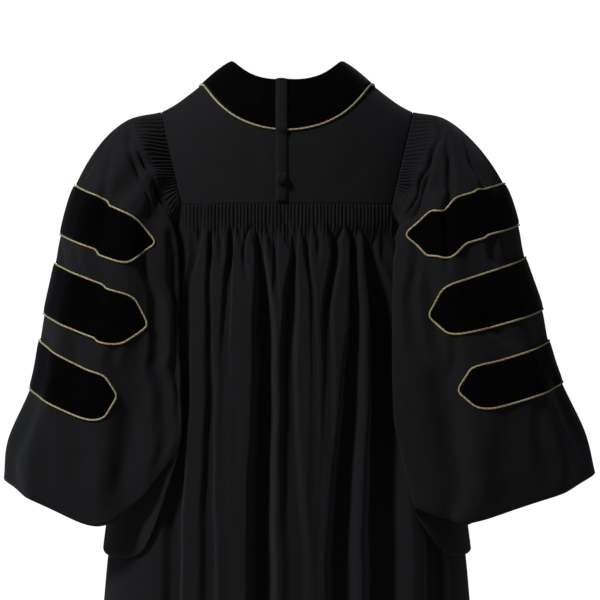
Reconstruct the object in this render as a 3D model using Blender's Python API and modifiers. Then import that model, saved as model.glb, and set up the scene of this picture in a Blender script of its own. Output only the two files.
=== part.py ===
"""A doctoral graduation gown, filled out as if worn, with nobody in it.

Frame: metres, +Z up, the wearer faces -Y and the wearer's left hand is at +X.  The origin
lies between the shoulders, where a wearer carries the gown.

Every cloth piece is an open surface worked out from the sizes below and given its wall by
Solidify.  The torso is two kinds of section: over the shoulders an arch in the Y-Z plane for
each x, and below the yoke seam an oval for each height.  The sleeves are lofts through rings.
"""
import math

import bmesh
import bpy
import numpy as np

# Cloth and trim
WALL = 0.0014
SLEEVE_WALL = 0.0017
VELVET_WALL = 0.0016
SEAM_GAP = 0.0007
SIDE_GAP_ANGLE = 0.0015
LAID_GAP = 0.0004
PIPING_RADIUS = 0.0015
BAR_GAP = 0.0008
BESIDE = PIPING_RADIUS + 0.0006
BAR_BESIDE = PIPING_RADIUS + 0.0010
PIPING_LIFT = WALL / 2 + LAID_GAP + PIPING_RADIUS

# Torso
YOKE_SEAM_Z = -0.208
UNDERARM_Z = -0.285
HEM_Z = -1.330
YOKE_HALF = 0.1785
NECK_HALF = 0.103
WIDEST_ARCH = 0.234
ARMHOLE_TOP_X = 0.219
ARMHOLE_TOP_Z = -0.043
OVAL_POWER = 2.4
ARCH_POWER = 2.3
SHOULDER_SEAM_ANGLE = math.radians(102)
NECK_BACK_Z = 0.006
COLLAR_BACK_Z = -0.080
COLLAR_SHOULDER_X = 0.152
FRONT_BAND_WIDTH = 0.095
FRONT_BAND_CHEST = 0.118
CENTRE_GAP = 0.0012
NECK_POINT_Z = 0.040
NECK_CURVE = 2.4
COLLAR_CURVE = 2.0
COLLAR_REACH = 0.965
V_CURVE = 0.9
BAND_NARROWS = 0.3
SHOULDER_GAP_ANGLE = 0.004

RIDGE = (
    # x, height of the shoulder line
    (0.000, 0.078),
    (0.050, 0.066),
    (0.103, 0.040),
    (0.154, 0.000),
    (0.193, -0.029),
    (0.219, -0.043),
    (0.250, -0.058),
)

BODY = (
    # z, half width, half depth at the back, half depth at the front
    (-0.208, 0.235, 0.115, 0.112),
    (-0.285, 0.229, 0.126, 0.124),
    (-0.400, 0.240, 0.142, 0.140),
    (-0.600, 0.276, 0.166, 0.160),
    (-0.770, 0.305, 0.182, 0.175),
    (-0.900, 0.318, 0.193, 0.184),
    (-1.100, 0.332, 0.208, 0.197),
    (-1.330, 0.349, 0.225, 0.213),
)

# Gathers: flutes sewn under the yoke and round the sleeve heads
BACK_FLUTES = 45
FLUTE_HEIGHT = 0.0030
FLUTE_START = 0.006
FLUTE_END = 0.066
FLUTE_FADE = 0.030
FLUTE_SIDE_FADE = 0.02
FLUTE_SIDE_SLANT = 6.0
BACK_FLUTE_ROWS = (0.0, 0.006, 0.028, 0.047)
BACK_PLAIN_ROWS = (0.064, 0.077, 0.110, 0.160, 0.225, 0.310, 0.420, 0.550, 0.700, 0.890, 1.122)
SLEEVE_FLUTES = 19
SIDE_COLUMNS = 4
CHEST_COLUMNS = 6
SLEEVE_FLUTE_HEIGHT = 0.0032
SLEEVE_FLUTE_END = 1.15
SLEEVE_FLUTE_FADE = 0.5

# Folds: where they start below the yoke seam, how they fade at a panel's sides, and how far
# the cloth fills out below the gathers
FOLD_START = 0.03
FOLD_GROWTH = 0.05
FULLNESS = 0.003
FULLNESS_START = 0.06
FULLNESS_GROWTH = 0.1
SIDE_FADE = 0.06
FLANK = 0.8
BACK_FOLDS = (
    # x at the top, x at the middle, x at the hem, depth at the top, at the middle, at the hem, half width
    (0.164, 0.170, 0.194, 0.008, 0.013, 0.016, 0.014),
    (0.136, 0.134, 0.136, 0.008, 0.011, 0.013, 0.009),
    (0.100, 0.107, 0.108, 0.009, 0.005, 0.003, 0.010),
    (0.050, 0.047, 0.052, 0.012, 0.027, 0.032, 0.017),
    (0.027, 0.020, 0.014, 0.008, 0.003, 0.002, 0.009),
    (-0.009, 0.003, -0.010, 0.011, 0.013, 0.009, 0.010),
    (-0.030, -0.041, -0.040, 0.008, 0.004, 0.003, 0.010),
    (-0.077, -0.061, -0.056, 0.012, 0.008, 0.004, 0.010),
    (-0.110, -0.105, -0.080, 0.013, 0.021, 0.027, 0.015),
    (-0.137, -0.155, -0.153, 0.006, 0.018, 0.036, 0.022),
    (-0.149, -0.192, -0.204, 0.010, 0.013, 0.016, 0.018),
)

FRONT_FOLDS = (
    # distance from the centre at the top, at the middle, at the hem, depths, half width
    (0.142, 0.140, 0.146, 0.004, 0.014, 0.018, 0.017),
    (0.160, 0.178, 0.190, 0.004, 0.010, 0.012, 0.015),
    (0.182, 0.214, 0.236, 0.003, 0.016, 0.020, 0.019),
)
FRONT_FOLD_START = 0.02
FRONT_FOLD_GROWTH = 0.12
BAND_CLEARANCE = 0.008
BAND_FADE = 0.015
FOLD_TOP_Z = -0.294
FOLD_MIDDLE_Z = -0.480
FOLD_HEM_Z = -0.900

# Sleeves: a row for each ring, from the gathers to the hem.  The outer edge, the middle of
# the back, and the fold where the back layer turns in beside the body are places seen from
# the back.  Tuck, under and front are the heights of the ring's hidden inner and front side.
LEFT_SLEEVE = (
    # outer x, z, middle x, z, fold x, z, tuck z, under z, front z, back depth, front depth
    (0.280, -0.058, 0.238, -0.140, 0.197, -0.250, -0.290, -0.318, -0.150, 0.104, 0.100),
    (0.330, -0.104, 0.262, -0.172, 0.187, -0.272, -0.325, -0.345, -0.180, 0.120, 0.112),
    (0.371, -0.177, 0.284, -0.217, 0.183, -0.300, -0.355, -0.380, -0.222, 0.136, 0.124),
    (0.394, -0.257, 0.296, -0.296, 0.181, -0.352, -0.405, -0.430, -0.300, 0.144, 0.130),
    (0.404, -0.310, 0.302, -0.352, 0.179, -0.402, -0.455, -0.480, -0.356, 0.149, 0.133),
    (0.422, -0.393, 0.312, -0.437, 0.178, -0.462, -0.520, -0.545, -0.440, 0.154, 0.136),
    (0.430, -0.441, 0.322, -0.494, 0.177, -0.502, -0.570, -0.595, -0.496, 0.158, 0.139),
    (0.446, -0.520, 0.331, -0.568, 0.175, -0.560, -0.655, -0.680, -0.572, 0.163, 0.142),
    (0.486, -0.612, 0.326, -0.664, 0.177, -0.606, -0.730, -0.750, -0.668, 0.168, 0.145),
    (0.494, -0.680, 0.318, -0.749, 0.188, -0.640, -0.795, -0.800, -0.755, 0.162, 0.142),
)
RIGHT_SLEEVE = (
    # outer x, z, middle x, z, fold x, z, tuck z, under z, front z, back depth, front depth
    (0.278, -0.056, 0.236, -0.140, 0.194, -0.248, -0.290, -0.318, -0.150, 0.104, 0.100),
    (0.334, -0.104, 0.262, -0.170, 0.186, -0.270, -0.325, -0.345, -0.178, 0.120, 0.112),
    (0.380, -0.173, 0.280, -0.200, 0.182, -0.282, -0.345, -0.375, -0.212, 0.136, 0.124),
    (0.403, -0.240, 0.292, -0.274, 0.180, -0.340, -0.400, -0.430, -0.288, 0.144, 0.130),
    (0.415, -0.299, 0.304, -0.338, 0.179, -0.400, -0.450, -0.475, -0.342, 0.149, 0.133),
    (0.444, -0.384, 0.318, -0.420, 0.178, -0.456, -0.515, -0.540, -0.424, 0.154, 0.136),
    (0.456, -0.444, 0.334, -0.480, 0.178, -0.500, -0.565, -0.590, -0.484, 0.158, 0.139),
    (0.478, -0.511, 0.345, -0.549, 0.180, -0.560, -0.650, -0.675, -0.553, 0.163, 0.142),
    (0.520, -0.600, 0.340, -0.660, 0.190, -0.612, -0.725, -0.745, -0.660, 0.168, 0.145),
    (0.538, -0.672, 0.316, -0.742, 0.215, -0.724, -0.800, -0.802, -0.785, 0.162, 0.142),
)
# Places round a ring: 0 the outer edge, then round the back, under the arm and up the front
FOLD = 4
UNDER = 6
FRONT_INNER = 7
RING_POINTS = 10
# The points between the outer edge and the middle: shares of the way in, out and down
ROUND_IN = 0.30
ROUND_OUT = 0.74
ROUND_DOWN = 0.36
# The points between the middle and the fold, and how far each inner point stands off the body
INNER_IN = 0.55
INNER_OUT = 0.97
INNER_DOWN = 0.4
INNER_STAND_OFF = 0.026
FOLD_STAND_OFF = 0.016
FRONT_STAND_OFF = 0.014
TUCK_IN = 0.055
FRONT_IN = 0.034
FRONT_DOWN = 0.6
NARROWEST = 0.97
BODY_CLEARANCE = 0.010
SEAM_CLEARANCE = 0.0036
CLEARANCE_ROUNDING = 0.003
CLEARANCE_START = 0.008
CLEARANCE_GROWTH = 0.7
HEAD_GAP = 0.0019
SLEEVE_FLUTE_ROWS = (0.0, 0.12, 0.55, 0.88)
SLEEVE_PLAIN_ROWS = (1.2, 1.6, 2.0, 2.5, 3.0, 3.5, 4.0, 5.0, 5.5, 6.0, 7.0, 7.5, 8.0,
                     8.6, 9.3, 10.0)
SLEEVE_COLUMNS = 30

SLEEVE_FOLDS = (
    # place round the ring at the head, at the hem, depth at the head, in the middle, at the hem, half width
    (1.10, 0.70, 0.004, 0.003, 0.006, 0.22),
    (2.05, 1.45, 0.007, 0.006, 0.008, 0.24),
    (3.10, 2.75, 0.009, 0.006, 0.010, 0.26),
    (7.90, 8.00, 0.007, 0.006, 0.009, 0.26),
    (9.10, 9.20, 0.005, 0.004, 0.006, 0.24),
)

# Velvet bars: the ring that each starts on, how far its top corner, its point and its bottom
# corner reach towards the centre of the back, and how far down the bar its point is
BAR_RINGS = (3, 5, 7)
LEFT_BARS = (
    # top corner x, point x, bottom corner x, point's share of the bar's width
    (0.251, 0.221, 0.272, 0.22),
    (0.260, 0.234, 0.283, 0.50),
    (0.308, 0.285, 0.308, 0.50),
)
RIGHT_BARS = (
    # top corner x, point x, bottom corner x, point's share of the bar's width
    (0.234, 0.201, 0.243, 0.15),
    (0.268, 0.239, 0.277, 0.47),
    (0.314, 0.288, 0.322, 0.60),
)
FRONT_REACH = 0.035
BAR_MIDDLE = 0.5
FURTHEST_REACH = 3.4

# Hood strap and its button
STRAP_X = 0.0086
STRAP_WIDTH = 0.0187
STRAP_WALL = 0.0020
STRAP_SPARE = 0.0004
STRAP_CLIMB = 0.014
STRAP_CLIMB_LENGTH = 0.012
STRAP_BRIDGE = 0.002
STRAP_BRIDGE_HALF = 0.006
BUTTON_Z = -0.1655
BUTTON_RADIUS = 0.0105
BUTTON_HEIGHT = 0.0065


def curve_through(knots, values, at):
    """A smooth value at a place, through values given at rising knots."""
    at = min(max(at, knots[0]), knots[-1])
    i = min(max(int(np.searchsorted(knots, at)) - 1, 0), len(knots) - 2)
    step = knots[i + 1] - knots[i]
    rise = values[i + 1] - values[i]
    if i > 0:
        start = (values[i + 1] - values[i - 1]) / (knots[i + 1] - knots[i - 1])
    else:
        start = rise / step
    if i + 2 < len(knots):
        end = (values[i + 2] - values[i]) / (knots[i + 2] - knots[i])
    else:
        end = rise / step
    t = (at - knots[i]) / step
    return ((2 * t**3 - 3 * t**2 + 1) * values[i] + (t**3 - 2 * t**2 + t) * step * start
            + (3 * t**2 - 2 * t**3) * values[i + 1] + (t**3 - t**2) * step * end)


def ease(t):
    """0 below 0, 1 above 1, and smooth between."""
    t = min(max(t, 0.0), 1.0)
    return t * t * (3 - 2 * t)


def mix(a, b, t):
    return a + (b - a) * t


RIDGE_X = [row[0] for row in RIDGE]
RIDGE_Z = [row[1] for row in RIDGE]
BODY_DOWN = [-row[0] for row in BODY]
BODY_WIDTH = [row[1] for row in BODY]
BODY_BACK = [row[2] for row in BODY]
BODY_FRONT = [row[3] for row in BODY]


def oval_radius(z, angle):
    """The torso's radius at a height; the angle runs from the back centre towards +X."""
    width = curve_through(BODY_DOWN, BODY_WIDTH, -z)
    depth = curve_through(BODY_DOWN, BODY_BACK if math.cos(angle) > 0 else BODY_FRONT, -z)
    across = abs(math.sin(angle)) / width
    along = abs(math.cos(angle)) / depth
    return (across**OVAL_POWER + along**OVAL_POWER) ** (-1 / OVAL_POWER)


def oval_point(z, angle):
    radius = oval_radius(z, angle)
    return np.array((radius * math.sin(angle), radius * math.cos(angle), z))


def arch_point(x, angle):
    """Over the shoulder at x: angle 0 is the back at the yoke seam's height, a half turn the front."""
    reach = (1 - (min(abs(x), WIDEST_ARCH) / BODY_WIDTH[0]) ** OVAL_POWER) ** (1 / OVAL_POWER)
    depth = reach * (BODY_BACK[0] if angle < math.pi / 2 else BODY_FRONT[0])
    height = curve_through(RIDGE_X, RIDGE_Z, abs(x)) - YOKE_SEAM_Z
    radius = ((abs(math.cos(angle)) / depth) ** ARCH_POWER
              + (abs(math.sin(angle)) / height) ** ARCH_POWER) ** (-1 / ARCH_POWER)
    return np.array((x, radius * math.cos(angle), YOKE_SEAM_Z + radius * math.sin(angle)))


def solve(rising, target, low, high):
    """The place where a rising function meets the target."""
    for _ in range(40):
        middle = (low + high) / 2
        if rising(middle) < target:
            low = middle
        else:
            high = middle
    return (low + high) / 2


def arch_angle(x, z):
    """The arch's angle, on the back, at a height."""
    return solve(lambda angle: arch_point(x, angle)[2], z, 0.0, math.pi / 2)


def oval_angle(x, z):
    """The oval's angle, on the back, at a distance from the centre plane."""
    return solve(lambda angle: oval_point(z, angle)[0], x, -math.pi / 2, math.pi / 2)


def armhole_x(z):
    """The armhole seam leans in as it comes down the yoke."""
    return mix(YOKE_HALF, ARMHOLE_TOP_X, (z - YOKE_SEAM_Z) / (ARMHOLE_TOP_Z - YOKE_SEAM_Z))


def armhole_arch(angle):
    """The armhole over the shoulder: its distance from the centre at an arch angle."""
    x = YOKE_HALF
    for _ in range(12):
        x = armhole_x(arch_point(x, angle)[2])
    return x


CORNER_ANGLE = oval_angle(YOKE_HALF, YOKE_SEAM_Z)


def armhole_oval(turn):
    """The armhole under the arm; turn 0 is at the yoke seam's height, a quarter turn the underarm."""
    z = YOKE_SEAM_Z - (YOKE_SEAM_Z - UNDERARM_Z) * math.sin(turn)
    angle = math.pi / 2 - (math.pi / 2 - CORNER_ANGLE) * math.cos(turn)
    return z, angle


def armhole_limit(z):
    """The widest oval angle that a body panel reaches at a height, short of the side seam."""
    if z <= UNDERARM_Z:
        return math.pi / 2 - SIDE_GAP_ANGLE
    turn = math.asin(min(max((YOKE_SEAM_Z - z) / (YOKE_SEAM_Z - UNDERARM_Z), 0.0), 1.0))
    return armhole_oval(turn)[1] - SIDE_GAP_ANGLE


def armhole_point(place):
    """The armhole by ring place: 0 the top, FOLD the back corner, UNDER the underarm."""
    if place <= FOLD:
        angle = math.pi / 2 * (1 - place / FOLD)
        return arch_point(armhole_arch(angle), angle)
    if place <= UNDER:
        z, angle = armhole_oval(math.pi / 2 * (place - FOLD) / (UNDER - FOLD))
        return oval_point(z, angle)
    if place <= FRONT_INNER:
        z, angle = armhole_oval(math.pi / 2 * (FRONT_INNER - place) / (FRONT_INNER - UNDER))
        return oval_point(z, math.pi - angle)
    angle = math.pi - math.pi / 2 * (place - FRONT_INNER) / (RING_POINTS - FRONT_INNER)
    return arch_point(armhole_arch(angle), angle)


def trough(distance, half_width):
    """A soft trough's share of its depth, at a distance from its middle."""
    t = min(abs(distance) / half_width, 2.0) / 2.0
    return 0.5 + 0.5 * math.cos(math.pi * t)


def torso_normal(surface, u, v, step=1e-4):
    """The outward normal of a torso surface."""
    across = surface(u + step, v) - surface(u - step, v)
    down = surface(u, v + step) - surface(u, v - step)
    normal = np.cross(across, down)
    here = surface(u, v)
    above = max(here[2] - YOKE_SEAM_Z, 0.0)
    outward = np.array((0.0 if above else here[0], here[1], above))
    return normal / np.linalg.norm(normal) * math.copysign(1.0, normal @ outward)


# The back panel


def fold_place(fold, z):
    """A fold's distance from the centre plane at a height."""
    return curve_through((-FOLD_TOP_Z, -FOLD_MIDDLE_Z, -FOLD_HEM_Z), fold[0:3], -z)


def fold_depth(fold, z):
    return curve_through((-FOLD_TOP_Z, -FOLD_MIDDLE_Z, -FOLD_HEM_Z), fold[3:6], -z)


def back_smooth(share, z):
    """The back panel without folds; share runs from -1 to 1 across it."""
    return oval_point(z, share * armhole_limit(z))


def back_relief(share, z, x):
    """How far folds and flutes move the back panel out."""
    below = YOKE_SEAM_Z - z
    relief = 0.0
    for fold in BACK_FOLDS:
        amount = fold_depth(fold, z) * ease((below - FOLD_START) / FOLD_GROWTH)
        relief -= amount * trough(x - fold_place(fold, z), fold[6])
    relief += FULLNESS * ease((below - FULLNESS_START) / FULLNESS_GROWTH)
    return relief * ease((1 - abs(share)) / SIDE_FADE)


def back_flute(share, z):
    """The flutes grow from a quarter of their height at the seam, and end further in lower down."""
    below = YOKE_SEAM_Z - z
    height = FLUTE_HEIGHT * mix(0.25, 1.0, ease(below / FLUTE_START)) * ease((FLUTE_END - below) / FLUTE_FADE)
    height *= ease((1 - abs(share)) / (FLUTE_SIDE_FADE + FLUTE_SIDE_SLANT * below))
    return height * math.cos(math.pi * BACK_FLUTES * (share + 1))


def back_point(share, z):
    smooth = back_smooth(share, z)
    normal = torso_normal(back_smooth, share * 0.999, z)
    relief = back_relief(share, z, smooth[0]) + back_flute(share, z)
    return smooth + normal * relief


def back_shares(z):
    """Columns that follow the folds: each fold's middle and flanks, the crests, and the sides."""
    limit = armhole_limit(z)
    middles = [fold_place(fold, z) for fold in BACK_FOLDS]
    places = [(a + b) / 2 for a, b in zip(middles, middles[1:])]
    for fold, middle in zip(BACK_FOLDS, middles):
        places += [middle + fold[6] * FLANK, middle, middle - fold[6] * FLANK]
    shares = sorted(min(max(oval_angle(x, z) / limit, -0.9), 0.9) for x in places)
    first = [mix(-1, shares[0], i / SIDE_COLUMNS) for i in range(SIDE_COLUMNS)]
    last = [mix(1, shares[-1], i / SIDE_COLUMNS) for i in reversed(range(SIDE_COLUMNS))]
    return first + shares + last


def plain_shares(count):
    return [2 * i / count - 1 for i in range(count + 1)]


# Building meshes


def zip_rows(faces, upper, upper_at, lower, lower_at):
    """Joins two rows of points with triangles, whatever their counts."""
    i = 0
    j = 0
    while i < len(upper) - 1 or j < len(lower) - 1:
        next_upper = upper_at[i + 1] if i < len(upper) - 1 else math.inf
        next_lower = lower_at[j + 1] if j < len(lower) - 1 else math.inf
        if next_upper <= next_lower + 1e-9:
            faces.append((upper[i], upper[i + 1], lower[j]))
            i += 1
        else:
            faces.append((upper[i], lower[j + 1], lower[j]))
            j += 1


def loft(rows, closed=False):
    """Points and faces of a surface through rows; a row is its places and its points."""
    points = []
    faces = []
    previous = None
    for places, row in rows:
        first = len(points)
        points.extend(row)
        indices = list(range(first, first + len(row)))
        places = list(places)
        if closed:
            indices.append(first)
            places.append(places[0] + RING_POINTS)
        if previous:
            zip_rows(faces, previous[0], previous[1], indices, places)
        previous = (indices, places)
    return points, faces


def material(name, colour, roughness, sheen=0.0):
    made = bpy.data.materials.new(name)
    made.use_nodes = True
    shader = made.node_tree.nodes["Principled BSDF"]
    shader.inputs["Base Color"].default_value = (*colour, 1)
    shader.inputs["Roughness"].default_value = roughness
    shader.inputs["Metallic"].default_value = 0.0
    shader.inputs["Sheen Weight"].default_value = sheen
    made.diffuse_color = (*colour, 1)
    return made


POPLIN = ((0.012, 0.012, 0.015), 0.82, 0.1)
VELVET = ((0.003, 0.003, 0.003), 0.95, 0.4)
GOLD = ((0.72, 0.56, 0.22), 0.45, 0.0)


def place(name, mesh, finish):
    shape = bpy.data.objects.new(name, mesh)
    mesh.materials.append(material(name, *finish))
    GOWN.objects.link(shape)
    return shape


def cloth(name, points, faces, wall, finish, even=True):
    """A cloth piece: its middle surface, and the wall about it."""
    mesh = bpy.data.meshes.new(name)
    mesh.from_pydata([tuple(p) for p in points], [], faces)
    mesh.update()
    mesh.shade_smooth()
    shape = place(name, mesh, finish)
    solid = shape.modifiers.new("Wall", "SOLIDIFY")
    solid.thickness = wall
    solid.offset = 0.0
    solid.use_even_offset = even
    return shape


def piping(name, path, closed, finish=GOLD):
    """A cord of piping along a path."""
    curve = bpy.data.curves.new(name, "CURVE")
    curve.dimensions = "3D"
    curve.bevel_depth = PIPING_RADIUS
    curve.bevel_resolution = 0
    curve.use_fill_caps = True
    line = curve.splines.new("POLY")
    line.points.add(len(path) - 1)
    for point, where in zip(line.points, path):
        point.co = (*where, 1)
    line.use_cyclic_u = closed
    shape = bpy.data.objects.new(name, curve)
    curve.materials.append(material(name, *finish))
    GOWN.objects.link(shape)
    return shape


def beside(points, normals, side, lift, closed):
    """A path beside a line on a surface: moved sideways and lifted off it."""
    path = []
    count = len(points)
    for i in range(count):
        before = points[i - 1] if closed or i > 0 else points[i]
        after = points[(i + 1) % count] if closed or i < count - 1 else points[i]
        arriving = points[i] - before
        leaving = after - points[i]
        arriving = arriving / max(np.linalg.norm(arriving), 1e-9)
        leaving = leaving / max(np.linalg.norm(leaving), 1e-9)
        along = arriving + leaving
        straight = closed or 0 < i < count - 1
        mitre = max(np.linalg.norm(along) / 2, 0.7) if straight else 1.0
        out = np.cross(normals[i], along)
        out /= np.linalg.norm(out)
        path.append(points[i] + out * side / mitre + normals[i] * lift)
    return path


# The back panel's solid


def build_back_panel():
    rows = []
    fine = [2 * i / (2 * BACK_FLUTES) - 1 for i in range(2 * BACK_FLUTES + 1)]
    for below in BACK_FLUTE_ROWS:
        z = YOKE_SEAM_Z - SEAM_GAP - below
        rows.append((fine, [back_point(share, z) for share in fine]))
    for below in BACK_PLAIN_ROWS:
        z = YOKE_SEAM_Z - below
        shares = back_shares(z)
        rows.append((shares, [back_point(share, z) for share in shares]))
    points, faces = loft(rows)
    cloth("back_panel", points, faces, WALL, POPLIN)


# The yoke and the collar, on rays from the neck edge


def neck_edge(t):
    """The back neck edge from the centre (0) to the left shoulder seam (1): x and arch angle."""
    x = NECK_HALF * math.sin(math.pi / 2 * abs(t))
    start = arch_angle(0.0, NECK_BACK_Z)
    angle = mix(start, SHOULDER_SEAM_ANGLE, abs(t) ** NECK_CURVE)
    return math.copysign(x, t), angle


def collar_edge(t):
    """The collar's outer edge, in the same way."""
    x = COLLAR_SHOULDER_X * math.sin(math.pi / 2 * abs(t))
    start = arch_angle(0.0, COLLAR_BACK_Z)
    angle = mix(start, SHOULDER_SEAM_ANGLE, abs(t) ** COLLAR_CURVE)
    return math.copysign(x, t), angle


YOKE_CORNER = 0.5


def yoke_edge(t):
    """The yoke's outer edge: half of it the bottom seam, half of it the armhole."""
    if abs(t) <= YOKE_CORNER:
        return YOKE_HALF * t / YOKE_CORNER, 0.0
    angle = SHOULDER_SEAM_ANGLE * (abs(t) - YOKE_CORNER) / (1 - YOKE_CORNER)
    return math.copysign(armhole_arch(angle), t), angle


def yoke_point(t, out):
    """out runs from 0 at the neck edge, by 1 at the collar's edge, to 2 at the outer edge."""
    inner = neck_edge(t) if out < 1 else collar_edge(t)
    outer = collar_edge(t) if out < 1 else yoke_edge(t)
    share = out if out < 1 else out - 1
    return arch_point(mix(inner[0], outer[0], share), mix(inner[1], outer[1], share))


def yoke_normal(t, out):
    return torso_normal(yoke_point, t * 0.999, min(max(out, 0.001), 1.999))


YOKE_COLUMNS = 24
COLLAR_PIPING_REACH = 0.994
YOKE_RINGS = (0.0, 0.5, 1.0, 1.33, 1.67, 2.0)


def build_yoke():
    turns = plain_shares(YOKE_COLUMNS)
    rows = [(turns, [yoke_point(t, out) for t in turns]) for out in YOKE_RINGS]
    points, faces = loft(rows)
    cloth("back_yoke", points, faces, WALL, POPLIN)


def build_collar():
    turns = plain_shares(YOKE_COLUMNS)
    lift = WALL / 2 + LAID_GAP + VELVET_WALL / 2
    rows = []
    for out in (0.0, 0.5, COLLAR_REACH):
        rows.append((turns, [yoke_point(t, out) + yoke_normal(t, out) * lift for t in turns]))
    points, faces = loft(rows)
    cloth("collar_back", points, faces, VELVET_WALL, VELVET)


# The fronts, from the shoulder seams to the hem


def neck_x(angle):
    """The V neck: from the shoulder seam's neck end down to the centre at the yoke seam's height."""
    x = NECK_HALF
    for _ in range(12):
        z = arch_point(x, angle)[2]
        drop = (z - YOKE_SEAM_Z) / (NECK_POINT_Z - YOKE_SEAM_Z)
        x = CENTRE_GAP / 2 + (NECK_HALF - CENTRE_GAP / 2) * max(drop, 0.0) ** V_CURVE
    return x


def front_smooth(share, level):
    """A front without folds; level 0 is the shoulder seam, 1 the V's bottom, 2 the hem."""
    if level <= 1:
        angle = mix(SHOULDER_SEAM_ANGLE + SHOULDER_GAP_ANGLE, math.pi, level)
        spacing = oval_point(YOKE_SEAM_Z, share * CORNER_ANGLE)[0] / YOKE_HALF
        return arch_point(mix(neck_x(angle), armhole_arch(angle), spacing), angle)
    z = mix(YOKE_SEAM_Z, HEM_Z, level - 1)
    inner = CENTRE_GAP / 2 / curve_through(BODY_DOWN, BODY_FRONT, -z)
    return oval_point(z, math.pi - mix(inner, armhole_limit(z), share))


def share_at(level, x):
    """Where a front reaches a distance from the centre plane."""
    return solve(lambda share: front_smooth(share, level)[0], x, 0.0, 1.0)


def band_share(level):
    """Where the velvet band's outer edge lies between the front's inner and outer edge."""
    reach = mix(COLLAR_SHOULDER_X, FRONT_BAND_CHEST, ease(min(level, 1.0)))
    reach = mix(reach, FRONT_BAND_WIDTH, ease((level - 1) / BAND_NARROWS))
    return share_at(level, reach)


def front_relief(share, level):
    """Folds stand only below the V, between the velvet band and the side seam."""
    if level <= 1:
        return 0.0
    z = mix(YOKE_SEAM_Z, HEM_Z, level - 1)
    below = YOKE_SEAM_Z - z
    x = front_smooth(share, level)[0]
    relief = 0.0
    for fold in FRONT_FOLDS:
        relief -= fold_depth(fold, z) * trough(x - fold_place(fold, z), fold[6])
    relief *= ease((x - FRONT_BAND_WIDTH - BAND_CLEARANCE) / BAND_FADE)
    return relief * ease((below - FRONT_FOLD_START) / FRONT_FOLD_GROWTH) * ease((1 - share) / SIDE_FADE)


def front_normal(share, level):
    return torso_normal(front_smooth, min(max(share, 0.001), 0.999), min(max(level, 0.001), 1.999))


def front_point(share, level):
    return front_smooth(share, level) + front_normal(share, level) * front_relief(share, level)


def front_shares(level):
    """The band's columns, then columns that follow the folds, then the side."""
    edge = band_share(level)
    band = [0.0, edge * 0.55, edge]
    if level <= 1:
        return band + [mix(edge, 1.0, i / CHEST_COLUMNS) for i in range(1, CHEST_COLUMNS + 1)]
    z = mix(YOKE_SEAM_Z, HEM_Z, level - 1)
    places = []
    for fold in FRONT_FOLDS:
        middle = fold_place(fold, z)
        places += [middle - fold[6] * FLANK, middle, middle + fold[6] * FLANK]
    shares = sorted(min(share_at(level, x), 0.9) for x in places)
    last = [mix(1, shares[-1], i / SIDE_COLUMNS) for i in reversed(range(SIDE_COLUMNS))]
    return band + shares + last


FRONT_LEVELS = (0.0, 0.14, 0.32, 0.52, 0.72, 0.88, 1.0, 1.035, 1.07, 1.11, 1.18, 1.28,
                1.40, 1.54, 1.70, 1.86, 2.0)


def mirrored(point, side):
    return np.array((point[0] * side, point[1], point[2]))


def build_fronts():
    lift = WALL / 2 + LAID_GAP + VELVET_WALL / 2
    for side, word in ((1, "left"), (-1, "right")):
        rows = []
        band_rows = []
        edge = []
        edge_normals = []
        for level in FRONT_LEVELS:
            shares = front_shares(level)
            row = [front_point(share, level) for share in shares]
            normals = [front_normal(share, level) for share in shares[:3]]
            rows.append((shares, [mirrored(point, side) for point in row]))
            band = [mirrored(p + n * lift, side) for p, n in zip(row, normals)]
            band_rows.append((shares[:3], band))
            edge.append(mirrored(row[2], side))
            edge_normals.append(mirrored(normals[2], side))
        points, faces = loft(rows)
        cloth("front_" + word, points, faces, WALL, POPLIN)
        points, faces = loft(band_rows)
        cloth("front_band_" + word, points, faces, VELVET_WALL, VELVET)
        path = beside(edge, edge_normals, side * BESIDE, PIPING_LIFT, False)
        piping("piping_front_" + word, path, False)


# The sleeves


def body_y(x, z, back):
    """How far the smooth body stands out at the back or the front, at a distance from the centre."""
    width = curve_through(BODY_DOWN, BODY_WIDTH, -z)
    depth = curve_through(BODY_DOWN, BODY_BACK if back else BODY_FRONT, -z)
    return depth * (1 - min(x / width, NARROWEST) ** OVAL_POWER) ** (1 / OVAL_POWER)


def ring_points(row):
    """A ring's ten points, for the left sleeve's side."""
    ox, oz, mx, mz, fx, fz, tuck_z, under_z, front_z, back, front = row
    width = curve_through(BODY_DOWN, BODY_WIDTH, -under_z)
    tuck_x = fx + TUCK_IN
    inner_x = fx + FRONT_IN
    round_x = mix(ox, mx, ROUND_IN)
    body_back = body_y(fx, fz, True)
    inner_out = max(back * INNER_OUT, body_back + INNER_STAND_OFF)
    return (
        np.array((ox, 0.0, oz)),
        np.array((round_x, back * ROUND_OUT, mix(oz, mz, ROUND_DOWN))),
        np.array((mx, back, mz)),
        np.array((mix(mx, fx, INNER_IN), inner_out, mix(mz, fz, INNER_DOWN))),
        np.array((fx, body_back + FOLD_STAND_OFF, fz)),
        np.array((tuck_x, body_y(tuck_x, tuck_z, True) + BODY_CLEARANCE, tuck_z)),
        np.array((width + BODY_CLEARANCE, 0.0, under_z)),
        np.array((inner_x, -body_y(inner_x, under_z, False) - FRONT_STAND_OFF,
                  mix(front_z, under_z, FRONT_DOWN))),
        np.array((mx, -front, front_z)),
        np.array((round_x, -front * ROUND_OUT, mix(oz, front_z, ROUND_DOWN))),
    )


RINGS = {
    1: [ring_points(row) for row in LEFT_SLEEVE],
    -1: [ring_points(row) for row in RIGHT_SLEEVE],
}


def spline(a, b, c, d, t):
    """A smooth curve from b to c, with a before it and d after it."""
    return (b + (c - a) * (t / 2) + (2 * a - 5 * b + 4 * c - d) * (t * t / 2)
            + (3 * b - a - 3 * c + d) * (t**3 / 2))


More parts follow.
